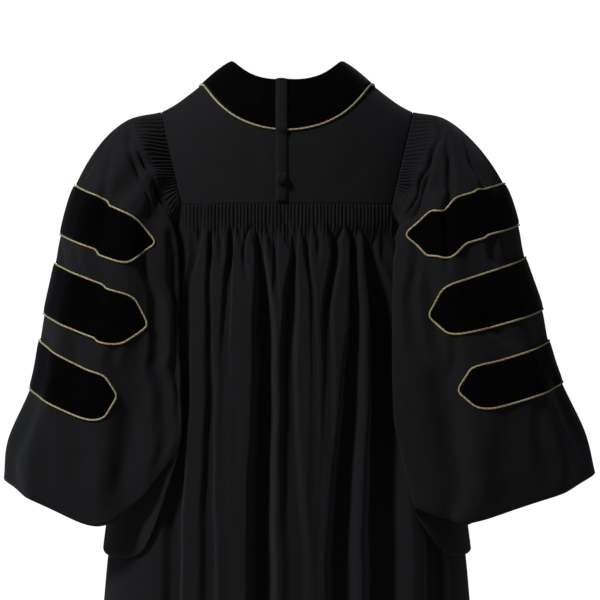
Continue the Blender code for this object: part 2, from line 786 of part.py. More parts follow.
def head_point(at):
    """The sleeve head's edge: the armhole, moved off the body pieces by the seam's gap."""
    at = at % RING_POINTS
    here = armhole_point(at)
    out = np.array((here[0], here[1], 0.0)) / math.hypot(here[0], here[1])
    under = ease((3.0 - abs(at - UNDER)) / 1.0)
    aside = np.array((HEAD_GAP, 0.0, 0.0))
    return here + mix(aside, out * SEAM_CLEARANCE, under)


def ring_point(side, ring, at):
    at = at % RING_POINTS
    if ring == 0:
        return head_point(at)
    points = RINGS[side][ring - 1]
    i = int(at)
    return spline(*(points[(i + k) % RING_POINTS] for k in (-1, 0, 1, 2)), at - i)


def clear_of_body(point, clearance):
    """Moves a point straight out where it would come too near the body."""
    if point[2] > YOKE_SEAM_Z:
        return point
    angle = math.atan2(point[0], point[1])
    radius = math.hypot(point[0], point[1])
    nearest = oval_radius(point[2], angle) + clearance
    spare = radius - nearest
    wanted = nearest + (spare + math.hypot(spare, CLEARANCE_ROUNDING)) / 2
    scale = mix(1.0, wanted / radius, ease((YOKE_SEAM_Z - point[2]) / CLEARANCE_START))
    return np.array((point[0] * scale, point[1] * scale, point[2]))


def sleeve_smooth(side, down, at):
    """The left-hand form of a sleeve without folds; down counts rings from the head."""
    last = len(RINGS[side])
    ring = min(int(down), last - 1)
    picked = [ring_point(side, min(max(ring + k, 0), last), at) for k in (-1, 0, 1, 2)]
    if ring == 0:
        picked[0] = 2 * picked[1] - picked[2]
    if ring + 2 > last:
        picked[3] = 2 * picked[2] - picked[1]
    point = spline(*picked, down - ring)
    if down <= 0:
        return point
    return clear_of_body(point, mix(SEAM_CLEARANCE, BODY_CLEARANCE, ease(down / CLEARANCE_GROWTH)))


def sleeve_normal(side, down, at):
    down = min(max(down, 0.02), len(RINGS[side]) - 0.001)
    across = sleeve_smooth(side, down, at + 1e-3) - sleeve_smooth(side, down, at - 1e-3)
    along = sleeve_smooth(side, down + 1e-3, at) - sleeve_smooth(side, down - 1e-3, at)
    normal = np.cross(along, across)
    return normal / np.linalg.norm(normal)


def sleeve_relief(side, down, at):
    share = down / len(RINGS[side])
    relief = 0.0
    for head, hem, head_depth, middle_depth, hem_depth, half_width in SLEEVE_FOLDS:
        depth = curve_through((0.0, 0.1, 0.45, 1.0), (0.0, head_depth, middle_depth, hem_depth), share)
        relief -= depth * trough(at % RING_POINTS - mix(head, hem, share), half_width)
    return relief


def sleeve_flute(down, at):
    """The gathers stand on the back and the front half of the head, not under the arm."""
    at = at % RING_POINTS
    span = BACK_GATHERS if at < UNDER else FRONT_GATHERS
    place = (at - span[0]) / (span[1] - span[0])
    if not 0 < place < 1:
        return 0.0
    height = SLEEVE_FLUTE_HEIGHT * ease(down / 0.1 + 0.25)
    height *= ease((SLEEVE_FLUTE_END - down) / SLEEVE_FLUTE_FADE)
    height *= ease(place * SLEEVE_FLUTES / 2) * ease((1 - place) * SLEEVE_FLUTES / 2)
    return height * -math.cos(2 * math.pi * SLEEVE_FLUTES * place)


def sleeve_point(side, down, at):
    relief = sleeve_relief(side, down, at) + sleeve_flute(down, at)
    point = sleeve_smooth(side, down, at)
    if relief:
        point = point + sleeve_normal(side, down, at) * relief
    return mirrored(point, side)


BACK_GATHERS = (0.25, 4.0)
FRONT_GATHERS = (7.0, 9.75)
UNDERARM_PLACES = (4.35, 4.7, 5.1, 5.55, 6.0, 6.4, 6.75)


def head_places():
    """Two columns to each flute, and a few more under the arm."""
    places = [0.0, 0.12]
    for i in range(2 * SLEEVE_FLUTES + 1):
        places.append(mix(*BACK_GATHERS, i / (2 * SLEEVE_FLUTES)))
    places += UNDERARM_PLACES
    for i in range(2 * SLEEVE_FLUTES + 1):
        places.append(mix(*FRONT_GATHERS, i / (2 * SLEEVE_FLUTES)))
    return places + [9.88]


def sleeve_places():
    return [RING_POINTS * i / SLEEVE_COLUMNS for i in range(SLEEVE_COLUMNS)]


FACETS = {}


def facet_corner(side, down, column):
    """A point of a sleeve solid's grid: a plain row and a column."""
    key = (side, down, column % SLEEVE_COLUMNS)
    if key not in FACETS:
        FACETS[key] = sleeve_point(side, down, key[2] * RING_POINTS / SLEEVE_COLUMNS)
    return FACETS[key]


def on_facet(side, down, at):
    """A place on a sleeve's solid, in the flat facet that holds it."""
    upper = max(row for row in SLEEVE_PLAIN_ROWS[:-1] if row <= down + 1e-9)
    lower = SLEEVE_PLAIN_ROWS[SLEEVE_PLAIN_ROWS.index(upper) + 1]
    column = math.floor(at * SLEEVE_COLUMNS / RING_POINTS)
    a = at * SLEEVE_COLUMNS / RING_POINTS - column
    b = (down - upper) / (lower - upper)
    upper_right = facet_corner(side, upper, column + 1)
    lower_left = facet_corner(side, lower, column)
    if a + b <= 1:
        corner = facet_corner(side, upper, column)
        return corner + a * (upper_right - corner) + b * (lower_left - corner)
    corner = facet_corner(side, lower, column + 1)
    return corner + (1 - a) * (lower_left - corner) + (1 - b) * (upper_right - corner)


def reach_place(side, down, x, front):
    """The place round a ring where it reaches a distance from the centre plane."""
    way = -1 if front else 1
    return way * solve(lambda at: -on_facet(side, down, way * at)[0] * side, -x, 0.0, FURTHEST_REACH)


def bar_outline(side, ring, reach):
    """The bar's corners on the sleeve, as places round and down it, in turn."""
    *reach, point = reach
    downs = (ring, ring + point, ring + 1)
    back = [(reach_place(side, down, x, False), down) for down, x in zip(downs, reach)]
    front = [(reach_place(side, down, x + FRONT_REACH, True), down) for down, x in zip(downs, reach)]
    return back + front[::-1]


def bar_sheet(side, ring, reach):
    """The sleeve's facets, laid out flat and cut along the bar's outline."""
    outline = bar_outline(side, ring, reach)
    step = RING_POINTS / SLEEVE_COLUMNS
    first = math.floor(min(at for at, down in outline) / step)
    last = math.ceil(max(at for at, down in outline) / step)
    downs = (ring, ring + BAR_MIDDLE, ring + 1)
    rows = [[(column * step, down) for column in range(first, last + 1)] for down in downs]
    points, faces = loft([([at for at, down in row], row) for row in rows])
    flat = bmesh.new()
    made = [flat.verts.new((at, down, 0.0)) for at, down in points]
    for face in faces:
        flat.faces.new([made[i] for i in face])
    for (at, down), (next_at, next_down) in zip(outline, outline[1:] + outline[:1]):
        bmesh.ops.bisect_plane(
            flat, geom=flat.verts[:] + flat.edges[:] + flat.faces[:], dist=1e-5,
            plane_co=(at, down, 0.0), plane_no=(next_down - down, at - next_at, 0.0), clear_outer=True)
    return flat


def build_bar(side, word, number, ring, reach):
    """A bar lies on the sleeve's own facets, moved out; its piping runs round its edge."""
    lift = WALL / 2 + BAR_GAP + VELVET_WALL / 2
    flat = bar_sheet(side, ring, reach)
    flat.verts.index_update()
    places = [(vert.co.x, vert.co.y) for vert in flat.verts]
    ground = [on_facet(side, down, at) for at, down in places]
    normals = [mirrored(sleeve_normal(side, down, at), side) for at, down in places]
    faces = [tuple(vert.index for vert in face.verts) for face in flat.faces]
    raised = [p + n * lift for p, n in zip(ground, normals)]
    cloth(f"bar_{word}_{number}", raised, faces, VELVET_WALL, VELVET, even=False)
    start = next(edge for edge in flat.edges if edge.is_boundary)
    ring_verts = [start.verts[0], start.verts[1]]
    while True:
        here = ring_verts[-1]
        onward = [edge.other_vert(here) for edge in here.link_edges if edge.is_boundary]
        following = next(vert for vert in onward if vert != ring_verts[-2])
        if following == ring_verts[0]:
            break
        ring_verts.append(following)
    edge_places = [vert.index for vert in ring_verts]
    loop = [places[i] for i in edge_places]
    area = sum(a[0] * b[1] - b[0] * a[1] for a, b in zip(loop, loop[1:] + loop[:1]))
    path = beside([ground[i] for i in edge_places], [normals[i] for i in edge_places],
                  side * math.copysign(BAR_BESIDE, area), PIPING_LIFT + BAR_GAP, True)
    piping(f"piping_bar_{word}_{number}", path, True)
    flat.free()


def build_sleeves():
    for side, word, bars in ((1, "left", LEFT_BARS), (-1, "right", RIGHT_BARS)):
        head = head_places()
        plain = sleeve_places()
        rows = [(head, [sleeve_point(side, down, at) for at in head]) for down in SLEEVE_FLUTE_ROWS]
        rows += [(plain, [sleeve_point(side, down, at) for at in plain]) for down in SLEEVE_PLAIN_ROWS]
        points, faces = loft(rows, closed=True)
        cloth("sleeve_" + word, points, faces, SLEEVE_WALL, POPLIN, even=False)
        for number, (ring, reach) in enumerate(zip(BAR_RINGS, bars), 1):
            build_bar(side, word, number, ring, reach)


# The collar's piping, the hood strap and the button


def build_collar_piping():
    turns = [t * COLLAR_PIPING_REACH for t in plain_shares(YOKE_COLUMNS)]
    points = [yoke_point(t, 1.0) for t in turns]
    normals = [yoke_normal(t, 1.0) for t in turns]
    piping("piping_collar", beside(points, normals, BESIDE, PIPING_LIFT, False), False)


def strap_lift(z):
    """The strap lies on the yoke, then climbs the collar's piping and the collar."""
    on_yoke = WALL / 2 + LAID_GAP + STRAP_WALL / 2
    on_collar = on_yoke + VELVET_WALL + LAID_GAP + STRAP_SPARE
    over_piping = WALL / 2 + 2 * LAID_GAP + 2 * PIPING_RADIUS + STRAP_WALL / 2 + STRAP_SPARE
    lift = mix(on_yoke, on_collar, ease((z - COLLAR_BACK_Z + STRAP_CLIMB) / STRAP_CLIMB_LENGTH))
    bridge = trough(z - COLLAR_BACK_Z + STRAP_BRIDGE, STRAP_BRIDGE_HALF)
    return lift + (over_piping - on_collar) * bridge


def strap_point(across, z):
    x = STRAP_X + across * STRAP_WIDTH / 2
    angle = arch_angle(x, z)
    return arch_point(x, angle) + torso_normal(arch_point, x, angle) * strap_lift(z)


STRAP_HEIGHTS = (0.004, -0.020, -0.045, -0.064, -0.074, -0.079, -0.083, -0.088, -0.094, -0.105,
                 -0.135, -0.165, -0.203)


def build_strap():
    rows = [((-1, 0, 1), [strap_point(across, z) for across in (-1, 0, 1)]) for z in STRAP_HEIGHTS]
    points, faces = loft(rows)
    cloth("hood_strap", points, faces, STRAP_WALL, POPLIN)


BUTTON_PROFILE = (
    # share of the radius, share of the height
    (0.00, 1.00),
    (0.45, 0.95),
    (0.78, 0.76),
    (0.97, 0.42),
    (0.97, 0.20),
    (0.80, 0.00),
    (0.00, 0.00),
)


def build_button():
    mesh = bpy.data.meshes.new("hood_button")
    points = [(r * BUTTON_RADIUS, 0.0, h * BUTTON_HEIGHT) for r, h in BUTTON_PROFILE]
    mesh.from_pydata(points, [(i, i + 1) for i in range(len(points) - 1)], [])
    button = place("hood_button", mesh, POPLIN)
    turn = button.modifiers.new("Turn", "SCREW")
    turn.steps = 20
    turn.render_steps = 20
    turn.use_merge_vertices = True
    turn.merge_threshold = 0.00005
    turn.use_smooth_shade = True
    foot = strap_point(0.0, BUTTON_Z)
    button.location = (foot[0], foot[1] + STRAP_WALL / 2 + LAID_GAP, foot[2])
    button.rotation_euler = (-math.pi / 2, 0.0, 0.0)


def build_all():
    build_back_panel()
    build_yoke()
    build_collar()
    build_fronts()
    build_sleeves()
    build_collar_piping()
    build_strap()
    build_button()


for old in list(bpy.data.objects):
    bpy.data.objects.remove(old, do_unlink=True)
GOWN = bpy.data.collections.new("graduation_gown")
bpy.context.scene.collection.children.link(GOWN)
build_all()
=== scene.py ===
"""The looks of the graduation gown: fine cloth shells, velvet, piping, sewing, light and camera.

Frame: metres, +Z up, the wearer faces -Y and the wearer's left hand is at +X.  The camera
stands behind the gown.  Every cloth piece is a fine shell on the form of its solid, so the
sizes and tables of that form come first, and the folds that are added to it come after.
A table in other units than metres says so.
"""
import math

import bpy
import numpy as np
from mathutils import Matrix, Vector


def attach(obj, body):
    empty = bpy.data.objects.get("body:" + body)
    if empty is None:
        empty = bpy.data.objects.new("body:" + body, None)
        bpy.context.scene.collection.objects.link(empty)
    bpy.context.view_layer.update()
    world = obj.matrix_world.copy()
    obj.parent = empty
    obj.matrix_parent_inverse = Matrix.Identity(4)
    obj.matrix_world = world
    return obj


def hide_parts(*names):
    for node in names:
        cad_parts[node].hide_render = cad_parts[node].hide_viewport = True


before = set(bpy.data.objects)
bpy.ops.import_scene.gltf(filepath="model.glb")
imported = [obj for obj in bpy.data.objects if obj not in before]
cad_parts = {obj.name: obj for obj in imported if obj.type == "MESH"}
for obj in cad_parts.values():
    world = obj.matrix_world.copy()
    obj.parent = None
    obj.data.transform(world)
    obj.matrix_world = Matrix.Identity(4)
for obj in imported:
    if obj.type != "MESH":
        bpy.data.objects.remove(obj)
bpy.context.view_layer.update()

# Sizes of the garment

SHELL = 0.0011
VELVET_SHELL = 0.0014
STRAP_SHELL = 0.0016
PIPING_RADIUS = 0.0015

# How far the piping's middle lies beside an edge, and how far pieces are lifted off the cloth below
BESIDE = 0.0021
BAR_BESIDE = 0.0025
PIPING_LIFT = 0.0026
BAR_LIFT = 0.0023
BAND_LIFT = 0.0019
STRAP_ON_YOKE = 0.0022
STRAP_ON_COLLAR = 0.0052
STRAP_OVER_PIPING = 0.0060

# How much the middle of a piece stands above its edges
COLLAR_FULLNESS = 0.0011
BAND_FULLNESS = 0.0010
BAR_FULLNESS = 0.0011
STRAP_FULLNESS = 0.0030

YOKE_SEAM_Z = -0.208
UNDERARM_Z = -0.285
HEM_Z = -1.330
YOKE_HALF = 0.1785
NECK_HALF = 0.103
ARMHOLE_TOP_X = 0.219
ARMHOLE_TOP_Z = -0.043
OVAL_POWER = 2.4
ARCH_POWER = 2.3
WIDEST_ARCH = 0.234
SHOULDER_SEAM_ANGLE = math.radians(102)
SHOULDER_GAP_ANGLE = 0.004
NECK_BACK_Z = 0.006
COLLAR_BACK_Z = -0.080
COLLAR_SHOULDER_X = 0.152
FRONT_BAND_WIDTH = 0.095
FRONT_BAND_CHEST = 0.118
CENTRE_GAP = 0.0004
SIDE_GAP_ANGLE = 0.0003
NECK_POINT_Z = 0.040

RIDGE = np.array((
    # x, height of the shoulder line, in millimetres
    (0, 78),
    (50, 66),
    (103, 40),
    (154, 0),
    (193, -29),
    (219, -43),
    (250, -58),
)) / 1000

BODY = np.array((
    # z, half width, half depth at the back, half depth at the front, in millimetres
    (-208, 235, 115, 112),
    (-285, 229, 126, 124),
    (-400, 240, 142, 140),
    (-600, 276, 166, 160),
    (-770, 305, 182, 175),
    (-900, 318, 193, 184),
    (-1100, 332, 208, 197),
    (-1330, 349, 225, 213),
)) / 1000
BODY_DOWN, BODY_WIDTH, BODY_BACK, BODY_FRONT = -BODY[:, 0], BODY[:, 1], BODY[:, 2], BODY[:, 3]

BACK_FLUTES = 58
FLUTE_HEIGHT = 0.0034
SLEEVE_FLUTES = 28
SLEEVE_FLUTE_HEIGHT = 0.0028

# Places round a sleeve's ring: its points, and where the gathers of its head start and end
FOLD, UNDER, FRONT_INNER, RING_POINTS = 4, 6, 7, 10
BACK_GATHERS = (0.25, 4.0)
FRONT_GATHERS = (7.0, 9.75)

BACK_FOLD_HEIGHTS = np.array((0.294, 0.385, 0.530, 0.800))
BACK_FOLDS = (
    # x of the middle at the four heights, then depths, then half widths, in millimetres
    ((161, 168, 175, 191), (7, 10, 14, 16), (4, 6, 10, 14)),
    ((131, 130, 129, 130), (9, 12, 14, 12), (4.5, 5, 6.5, 12)),
    ((96, 100, 103, 103), (12, 10, 3, 0), (5, 7.5, 8, 8)),
    ((45, 37, 38, 42), (16, 35, 40, 44), (7, 14, 16, 19)),
    ((20, 15, 11, 7), (9, 4, 2, 1), (4, 7, 8, 8)),
    ((-13, -8, -3, -16), (13, 21, 19, 10), (5.5, 11, 11.5, 19)),
    ((-36, -46, -46, -46), (9, 5, 2, 1), (4, 5, 6, 8)),
    ((-83, -71, -70, -60), (14, 13, 5, 1), (7.5, 8, 9, 10)),
    ((-115, -118, -109, -92), (16, 24, 33, 38), (7, 9.5, 15, 21)),
    ((-144, -166, -171, -168), (15, 38, 46, 48), (10, 20, 25, 31)),
    ((-168, -186, -224, -252), (3, 4, 8, 16), (9, 9, 12, 17)),
)
FRONT_FOLDS = np.array((
    # distance from the centre at the top, the middle and the hem, depths there, half width, in millimetres
    (142, 140, 146, 4, 14, 18, 17),
    (160, 178, 190, 4, 10, 12, 15),
    (182, 214, 236, 3, 16, 20, 19),
)) / 1000
FRONT_FOLD_HEIGHTS = np.array((0.294, 0.480, 0.900))

# A row is a ring of a sleeve, from its head to its hem, in millimetres: outer x, z, middle x, z,
# fold x, z, tuck z, under z, front z, depth at the back, depth at the front
LEFT_SLEEVE = np.array((
    (280, -58, 238, -140, 197, -250, -290, -318, -150, 104, 100),
    (330, -104, 262, -172, 187, -272, -325, -345, -180, 120, 112),
    (371, -177, 284, -217, 183, -300, -355, -380, -222, 136, 124),
    (394, -257, 296, -296, 181, -352, -405, -430, -300, 144, 130),
    (404, -310, 302, -352, 179, -402, -455, -480, -356, 149, 133),
    (422, -393, 312, -437, 178, -462, -520, -545, -440, 154, 136),
    (430, -441, 322, -494, 177, -502, -570, -595, -496, 158, 139),
    (446, -520, 331, -568, 175, -560, -655, -680, -572, 163, 142),
    (486, -612, 326, -664, 177, -606, -730, -750, -668, 168, 145),
    (494, -680, 318, -749, 188, -640, -795, -800, -755, 162, 142),
)) / 1000
RIGHT_SLEEVE = np.array((
    (278, -56, 236, -140, 194, -248, -290, -318, -150, 104, 100),
    (334, -104, 262, -170, 186, -270, -325, -345, -178, 120, 112),
    (380, -173, 280, -200, 182, -282, -345, -375, -212, 136, 124),
    (403, -240, 292, -274, 180, -340, -400, -430, -288, 144, 130),
    (415, -299, 304, -338, 179, -400, -450, -475, -342, 149, 133),
    (444, -384, 318, -420, 178, -456, -515, -540, -424, 154, 136),
    (456, -444, 334, -480, 178, -500, -565, -590, -484, 158, 139),
    (478, -511, 345, -549, 180, -560, -650, -675, -553, 163, 142),
    (520, -600, 340, -660, 190, -612, -725, -745, -660, 168, 145),
    (538, -672, 316, -742, 215, -724, -800, -802, -785, 162, 142),
)) / 1000
BODY_CLEARANCE = 0.010
SEAM_CLEARANCE = 0.0036
HEAD_GAP = 0.0019

SLEEVE_FOLDS = (
    # place round the ring at the head, at the hem, depth at the head, in the middle, at the hem, half width
    (1.10, 0.70, 0.004, 0.003, 0.006, 0.22),
    (2.05, 1.45, 0.007, 0.006, 0.008, 0.24),
    (3.10, 2.75, 0.009, 0.006, 0.010, 0.26),
    (7.90, 8.00, 0.007, 0.006, 0.009, 0.26),
    (9.10, 9.20, 0.005, 0.004, 0.006, 0.24),
)

BAR_RINGS = (3, 5, 7)
# A row is a bar: top corner x, point x, bottom corner x, point's share of the bar's width
LEFT_BARS = (
    (0.251, 0.221, 0.272, 0.22),
    (0.260, 0.234, 0.283, 0.50),
    (0.308, 0.285, 0.308, 0.50),
)
RIGHT_BARS = (
    (0.234, 0.201, 0.243, 0.15),
    (0.268, 0.239, 0.277, 0.47),
    (0.314, 0.288, 0.322, 0.60),
)
FRONT_REACH = 0.035

STRAP_X = 0.0086
STRAP_WIDTH = 0.0187
BUTTON_Z = -0.1655
BUTTON_RADIUS = 0.0105
BUTTON_HEIGHT = 0.0065

# Length and gap of the stitches
SEAM_STITCH = (0.0026, 0.0009)
HEM_STITCH = (0.0034, 0.0016)
STRAP_STITCH = (0.0024, 0.0012)


# Numbers


def through(knots, values, at):
    """A smooth value at each place, through values given at rising knots."""
    knots = np.asarray(knots, float)
    values = np.asarray(values, float)
    at = np.clip(at, knots[0], knots[-1])
    i = np.clip(np.searchsorted(knots, at) - 1, 0, len(knots) - 2)
    slopes = np.empty(len(knots))
    slopes[1:-1] = (values[2:] - values[:-2]) / (knots[2:] - knots[:-2])
    slopes[0] = (values[1] - values[0]) / (knots[1] - knots[0])
    slopes[-1] = (values[-1] - values[-2]) / (knots[-1] - knots[-2])
    step = knots[i + 1] - knots[i]
    t = (at - knots[i]) / step
    return ((2 * t**3 - 3 * t**2 + 1) * values[i] + (t**3 - 2 * t**2 + t) * step * slopes[i]
            + (3 * t**2 - 2 * t**3) * values[i + 1] + (t**3 - t**2) * step * slopes[i + 1])


def ease(t):
    """0 below 0, 1 above 1, and smooth between."""
    t = np.clip(t, 0.0, 1.0)
    return t * t * (3 - 2 * t)


def mix(a, b, t):
    return a + (b - a) * t


def solve(rising, target, low, high):
    """The places where a rising function meets its targets."""
    low = np.zeros_like(target) + low
    high = np.zeros_like(target) + high
    for _ in range(32):
        middle = (low + high) / 2
        under = rising(middle) < target
        low = np.where(under, middle, low)
        high = np.where(under, high, middle)
    return (low + high) / 2


def stops(*runs):
    """Rising places: each run is its start, its end and its count of steps."""
    places = [np.linspace(start, end, count, endpoint=False) for start, end, count in runs]
    return np.concatenate(places + [[runs[-1][1]]])


def stack(x, y, z):
    return np.stack(np.broadcast_arrays(x, y, z), axis=-1).astype(float)


def waver(*waves):
    """A slow uneven sum of sines; a wave is its height, its angle and its turn."""
    return sum(height * np.sin(angle + turn) for height, angle, turn in waves)


def trough(distance, half_width):
    """A soft trough's share of its depth, at a distance from its middle."""
    return 0.5 + 0.5 * np.cos(np.pi * np.clip(np.abs(distance) / half_width, 0, 2) / 2)


def unit(vectors):
    return vectors / np.maximum(np.linalg.norm(vectors, axis=-1, keepdims=True), 1e-12)


def lengths(path):
    """The distance along a path to each of its points."""
    return np.concatenate(([0.0], np.cumsum(np.linalg.norm(np.diff(path, axis=0), axis=1))))


def at_length(values, total, where):
    """Values given at a path's points, read at other distances along it."""
    return np.stack([np.interp(where, total, values[:, k]) for k in range(3)], axis=-1)


def tangents(path, closed):
    if closed:
        return np.roll(path, -1, axis=0) - np.roll(path, 1, axis=0)
    return np.gradient(path, axis=0)


# The torso


def oval_point(z, angle):
    """A level section of the torso; the angle runs from the back centre towards +X."""
    width = through(BODY_DOWN, BODY_WIDTH, -z)
    back = through(BODY_DOWN, BODY_BACK, -z)
    front = through(BODY_DOWN, BODY_FRONT, -z)
    depth = np.where(np.cos(angle) > 0, back, front)
    across = np.abs(np.sin(angle)) / width
    along = np.abs(np.cos(angle)) / depth
    radius = (across**OVAL_POWER + along**OVAL_POWER) ** (-1 / OVAL_POWER)
    return stack(radius * np.sin(angle), radius * np.cos(angle), z)


def arch_point(x, angle):
    """Over the shoulder at x: angle 0 is the back at the yoke seam's height, a half turn the front."""
    side = np.minimum(np.abs(x), WIDEST_ARCH) / BODY_WIDTH[0]
    reach = (1 - side**OVAL_POWER) ** (1 / OVAL_POWER)
    depth = reach * np.where(angle < np.pi / 2, BODY_BACK[0], BODY_FRONT[0])
    height = through(RIDGE[:, 0], RIDGE[:, 1], np.abs(x)) - YOKE_SEAM_Z
    radius = ((np.abs(np.cos(angle)) / depth) ** ARCH_POWER
              + (np.abs(np.sin(angle)) / height) ** ARCH_POWER) ** (-1 / ARCH_POWER)
    return stack(x, radius * np.cos(angle), YOKE_SEAM_Z + radius * np.sin(angle))


def arch_angle(x, z):
    return solve(lambda angle: arch_point(x, angle)[..., 2], z, 0.0, np.pi / 2)


def oval_angle(x, z):
    return solve(lambda angle: oval_point(z, angle)[..., 0], x, -np.pi / 2, np.pi / 2)


def armhole_x(z):
    return mix(YOKE_HALF, ARMHOLE_TOP_X, (z - YOKE_SEAM_Z) / (ARMHOLE_TOP_Z - YOKE_SEAM_Z))


def armhole_arch(angle):
    x = np.full(np.shape(angle), YOKE_HALF)
    for _ in range(12):
        x = armhole_x(arch_point(x, angle)[..., 2])
    return x


CORNER_ANGLE = float(oval_angle(np.array(YOKE_HALF), YOKE_SEAM_Z))


def armhole_oval(turn):
    z = YOKE_SEAM_Z - (YOKE_SEAM_Z - UNDERARM_Z) * np.sin(turn)
    return z, np.pi / 2 - (np.pi / 2 - CORNER_ANGLE) * np.cos(turn)


def armhole_limit(z):
    """The widest oval angle that a body panel reaches at a height."""
    turn = np.arcsin(np.clip((YOKE_SEAM_Z - z) / (YOKE_SEAM_Z - UNDERARM_Z), 0.0, 1.0))
    return np.where(z <= UNDERARM_Z, np.pi / 2, armhole_oval(turn)[1]) - SIDE_GAP_ANGLE


def inward(point, hub, distance):
    return point - unit(point - hub) * distance


def armhole_point(place, outside=0.0, inside=0.0):
    """The armhole by ring place: 0 the top, FOLD the back corner, UNDER the underarm.

    It can be moved off the edge of the body pieces, and inside from their surface.
    """
    back = np.pi / 2 * (1 - np.clip(place / FOLD, 0, 1))
    front = np.pi - np.pi / 2 * np.clip((place - FRONT_INNER) / (RING_POINTS - FRONT_INNER), 0, 1)
    arch = np.where(place <= FOLD, back, front)
    over = arch_point(armhole_arch(arch) + outside, arch)
    over = inward(over, stack(over[..., 0], 0.0, YOKE_SEAM_Z), inside)
    back_turn = np.pi / 2 * np.clip((place - FOLD) / (UNDER - FOLD), 0, 1)
    front_turn = np.pi / 2 * np.clip((FRONT_INNER - place) / (FRONT_INNER - UNDER), 0, 1)
    z, angle = armhole_oval(np.where(place <= UNDER, back_turn, front_turn))
    beneath = oval_point(z + outside, np.where(place <= UNDER, angle, np.pi - angle))
    beneath = inward(beneath, stack(0.0, 0.0, beneath[..., 2]), inside)
    return np.where(((place > FOLD) & (place < FRONT_INNER))[..., None], beneath, over)


def surface_normals(points, outward=1.0):
    """Normals of a grid whose rows run down and whose columns run across."""
    across = np.gradient(points, axis=1)
    down = np.gradient(points, axis=0)
    return unit(np.cross(across, down) * outward)


def crease(u, v, rows):
    """Soft troughs along given lines, in metres.

    A row is a depth in millimetres, then a half width and the line's points in the units of u and v.
    """
    relief = np.zeros(np.broadcast(u, v).shape)
    for depth, half_width, *line in rows:
        nearest = np.full(relief.shape, 1e9)
        along = np.zeros(relief.shape)
        for i, ((u0, v0), (u1, v1)) in enumerate(zip(line, line[1:])):
            length = (u1 - u0) ** 2 + (v1 - v0) ** 2
            t = np.clip(((u - u0) * (u1 - u0) + (v - v0) * (v1 - v0)) / length, 0, 1)
            distance = np.hypot(u - u0 - t * (u1 - u0), v - v0 - t * (v1 - v0))
            along = np.where(distance < nearest, (i + t) / (len(line) - 1), along)
            nearest = np.minimum(nearest, distance)
        ends = np.sin(np.pi * np.clip(along, 0.02, 0.98)) ** 0.7
        relief -= depth * ends * trough(nearest, half_width)
    return relief / 1000


# Meshes


def linked(name, data):
    made = bpy.data.objects.new(name, data)
    bpy.context.scene.collection.objects.link(made)
    return made


def mesh_piece(name, points, faces, finish, uvs=None):
    mesh = bpy.data.meshes.new(name)
    mesh.from_pydata(np.asarray(points).reshape(-1, 3).tolist(), [], faces)
    if uvs is not None:
        layer = mesh.uv_layers.new(name="cloth")
        loops = np.empty(len(mesh.loops), dtype=np.int32)
        mesh.loops.foreach_get("vertex_index", loops)
        layer.data.foreach_set("uv", np.asarray(uvs).reshape(-1, 2)[loops].ravel().astype(np.float32))
    mesh.update()
    mesh.shade_smooth()
    mesh.materials.append(finish)
    return linked(name, mesh)


def grid_faces(rows, columns, closed=False):
    index = np.arange(rows * columns).reshape(rows, columns)
    following = np.roll(index, -1, axis=1)
    if not closed:
        index, following = index[:, :-1], following[:, :-1]
    return np.stack((index[:-1], following[:-1], following[1:], index[1:]), axis=-1).reshape(-1, 4)


def lengths_across(points):
    """Distance along each row from its middle, so the weave keeps its size over folds."""
    steps = np.linalg.norm(np.diff(points, axis=1), axis=-1)
    total = np.concatenate((np.zeros((len(points), 1)), np.cumsum(steps, axis=1)), axis=1)
    return total - total[:, -1:] / 2


def lengths_down(points):
    steps = np.linalg.norm(np.diff(points, axis=0), axis=-1).mean(axis=1)
    return np.broadcast_to(np.concatenate(([0.0], np.cumsum(steps)))[:, None], points.shape[:2])


def shell(name, points, thickness, finish, flip=False, closed=False):
    """A cloth shell about a grid of points."""
    rows, columns = points.shape[:2]
    faces = grid_faces(rows, columns, closed)
    if flip:
        faces = faces[:, ::-1]
    uvs = np.stack((lengths_across(points), lengths_down(points)), axis=-1)
    piece = mesh_piece(name, points, faces.tolist(), finish, uvs)
    wall = piece.modifiers.new("Wall", "SOLIDIFY")
    wall.thickness = thickness
    wall.offset = 0.0
    return piece


def mirrored(points, side):
    return points * np.array((side, 1.0, 1.0))


def tube(name, path, normals, radius, finish, closed=False, sides=10):
    """A cord along a path, with flat caps; the texture runs along it and round it."""
    ahead = unit(tangents(path, closed))
    aside = unit(np.cross(normals, ahead))
    up = np.cross(ahead, aside)
    turn = 2 * np.pi * np.arange(sides) / sides
    ring = np.cos(turn)[None, :, None] * aside[:, None] + np.sin(turn)[None, :, None] * up[:, None]
    points = path[:, None] + radius * ring
    faces = grid_faces(len(path), sides, closed=True).tolist()
    last = (len(path) - 1) * sides
    if closed:
        faces += [(last + i, last + (i + 1) % sides, (i + 1) % sides, i) for i in range(sides)]
    else:
        faces += [range(sides)[::-1], range(last, last + sides)]
    uvs = np.stack(np.broadcast_arrays(lengths(path)[:, None], turn[None, :] * radius), axis=-1)
    return mesh_piece(name, points, faces, finish, uvs)


def beside(points, normals, side, lift, closed=False):
    """A path beside a line on a surface: moved sideways and lifted off it."""
    out = unit(np.cross(normals, tangents(points, closed)))
    return points + out * side + normals * lift


# Materials

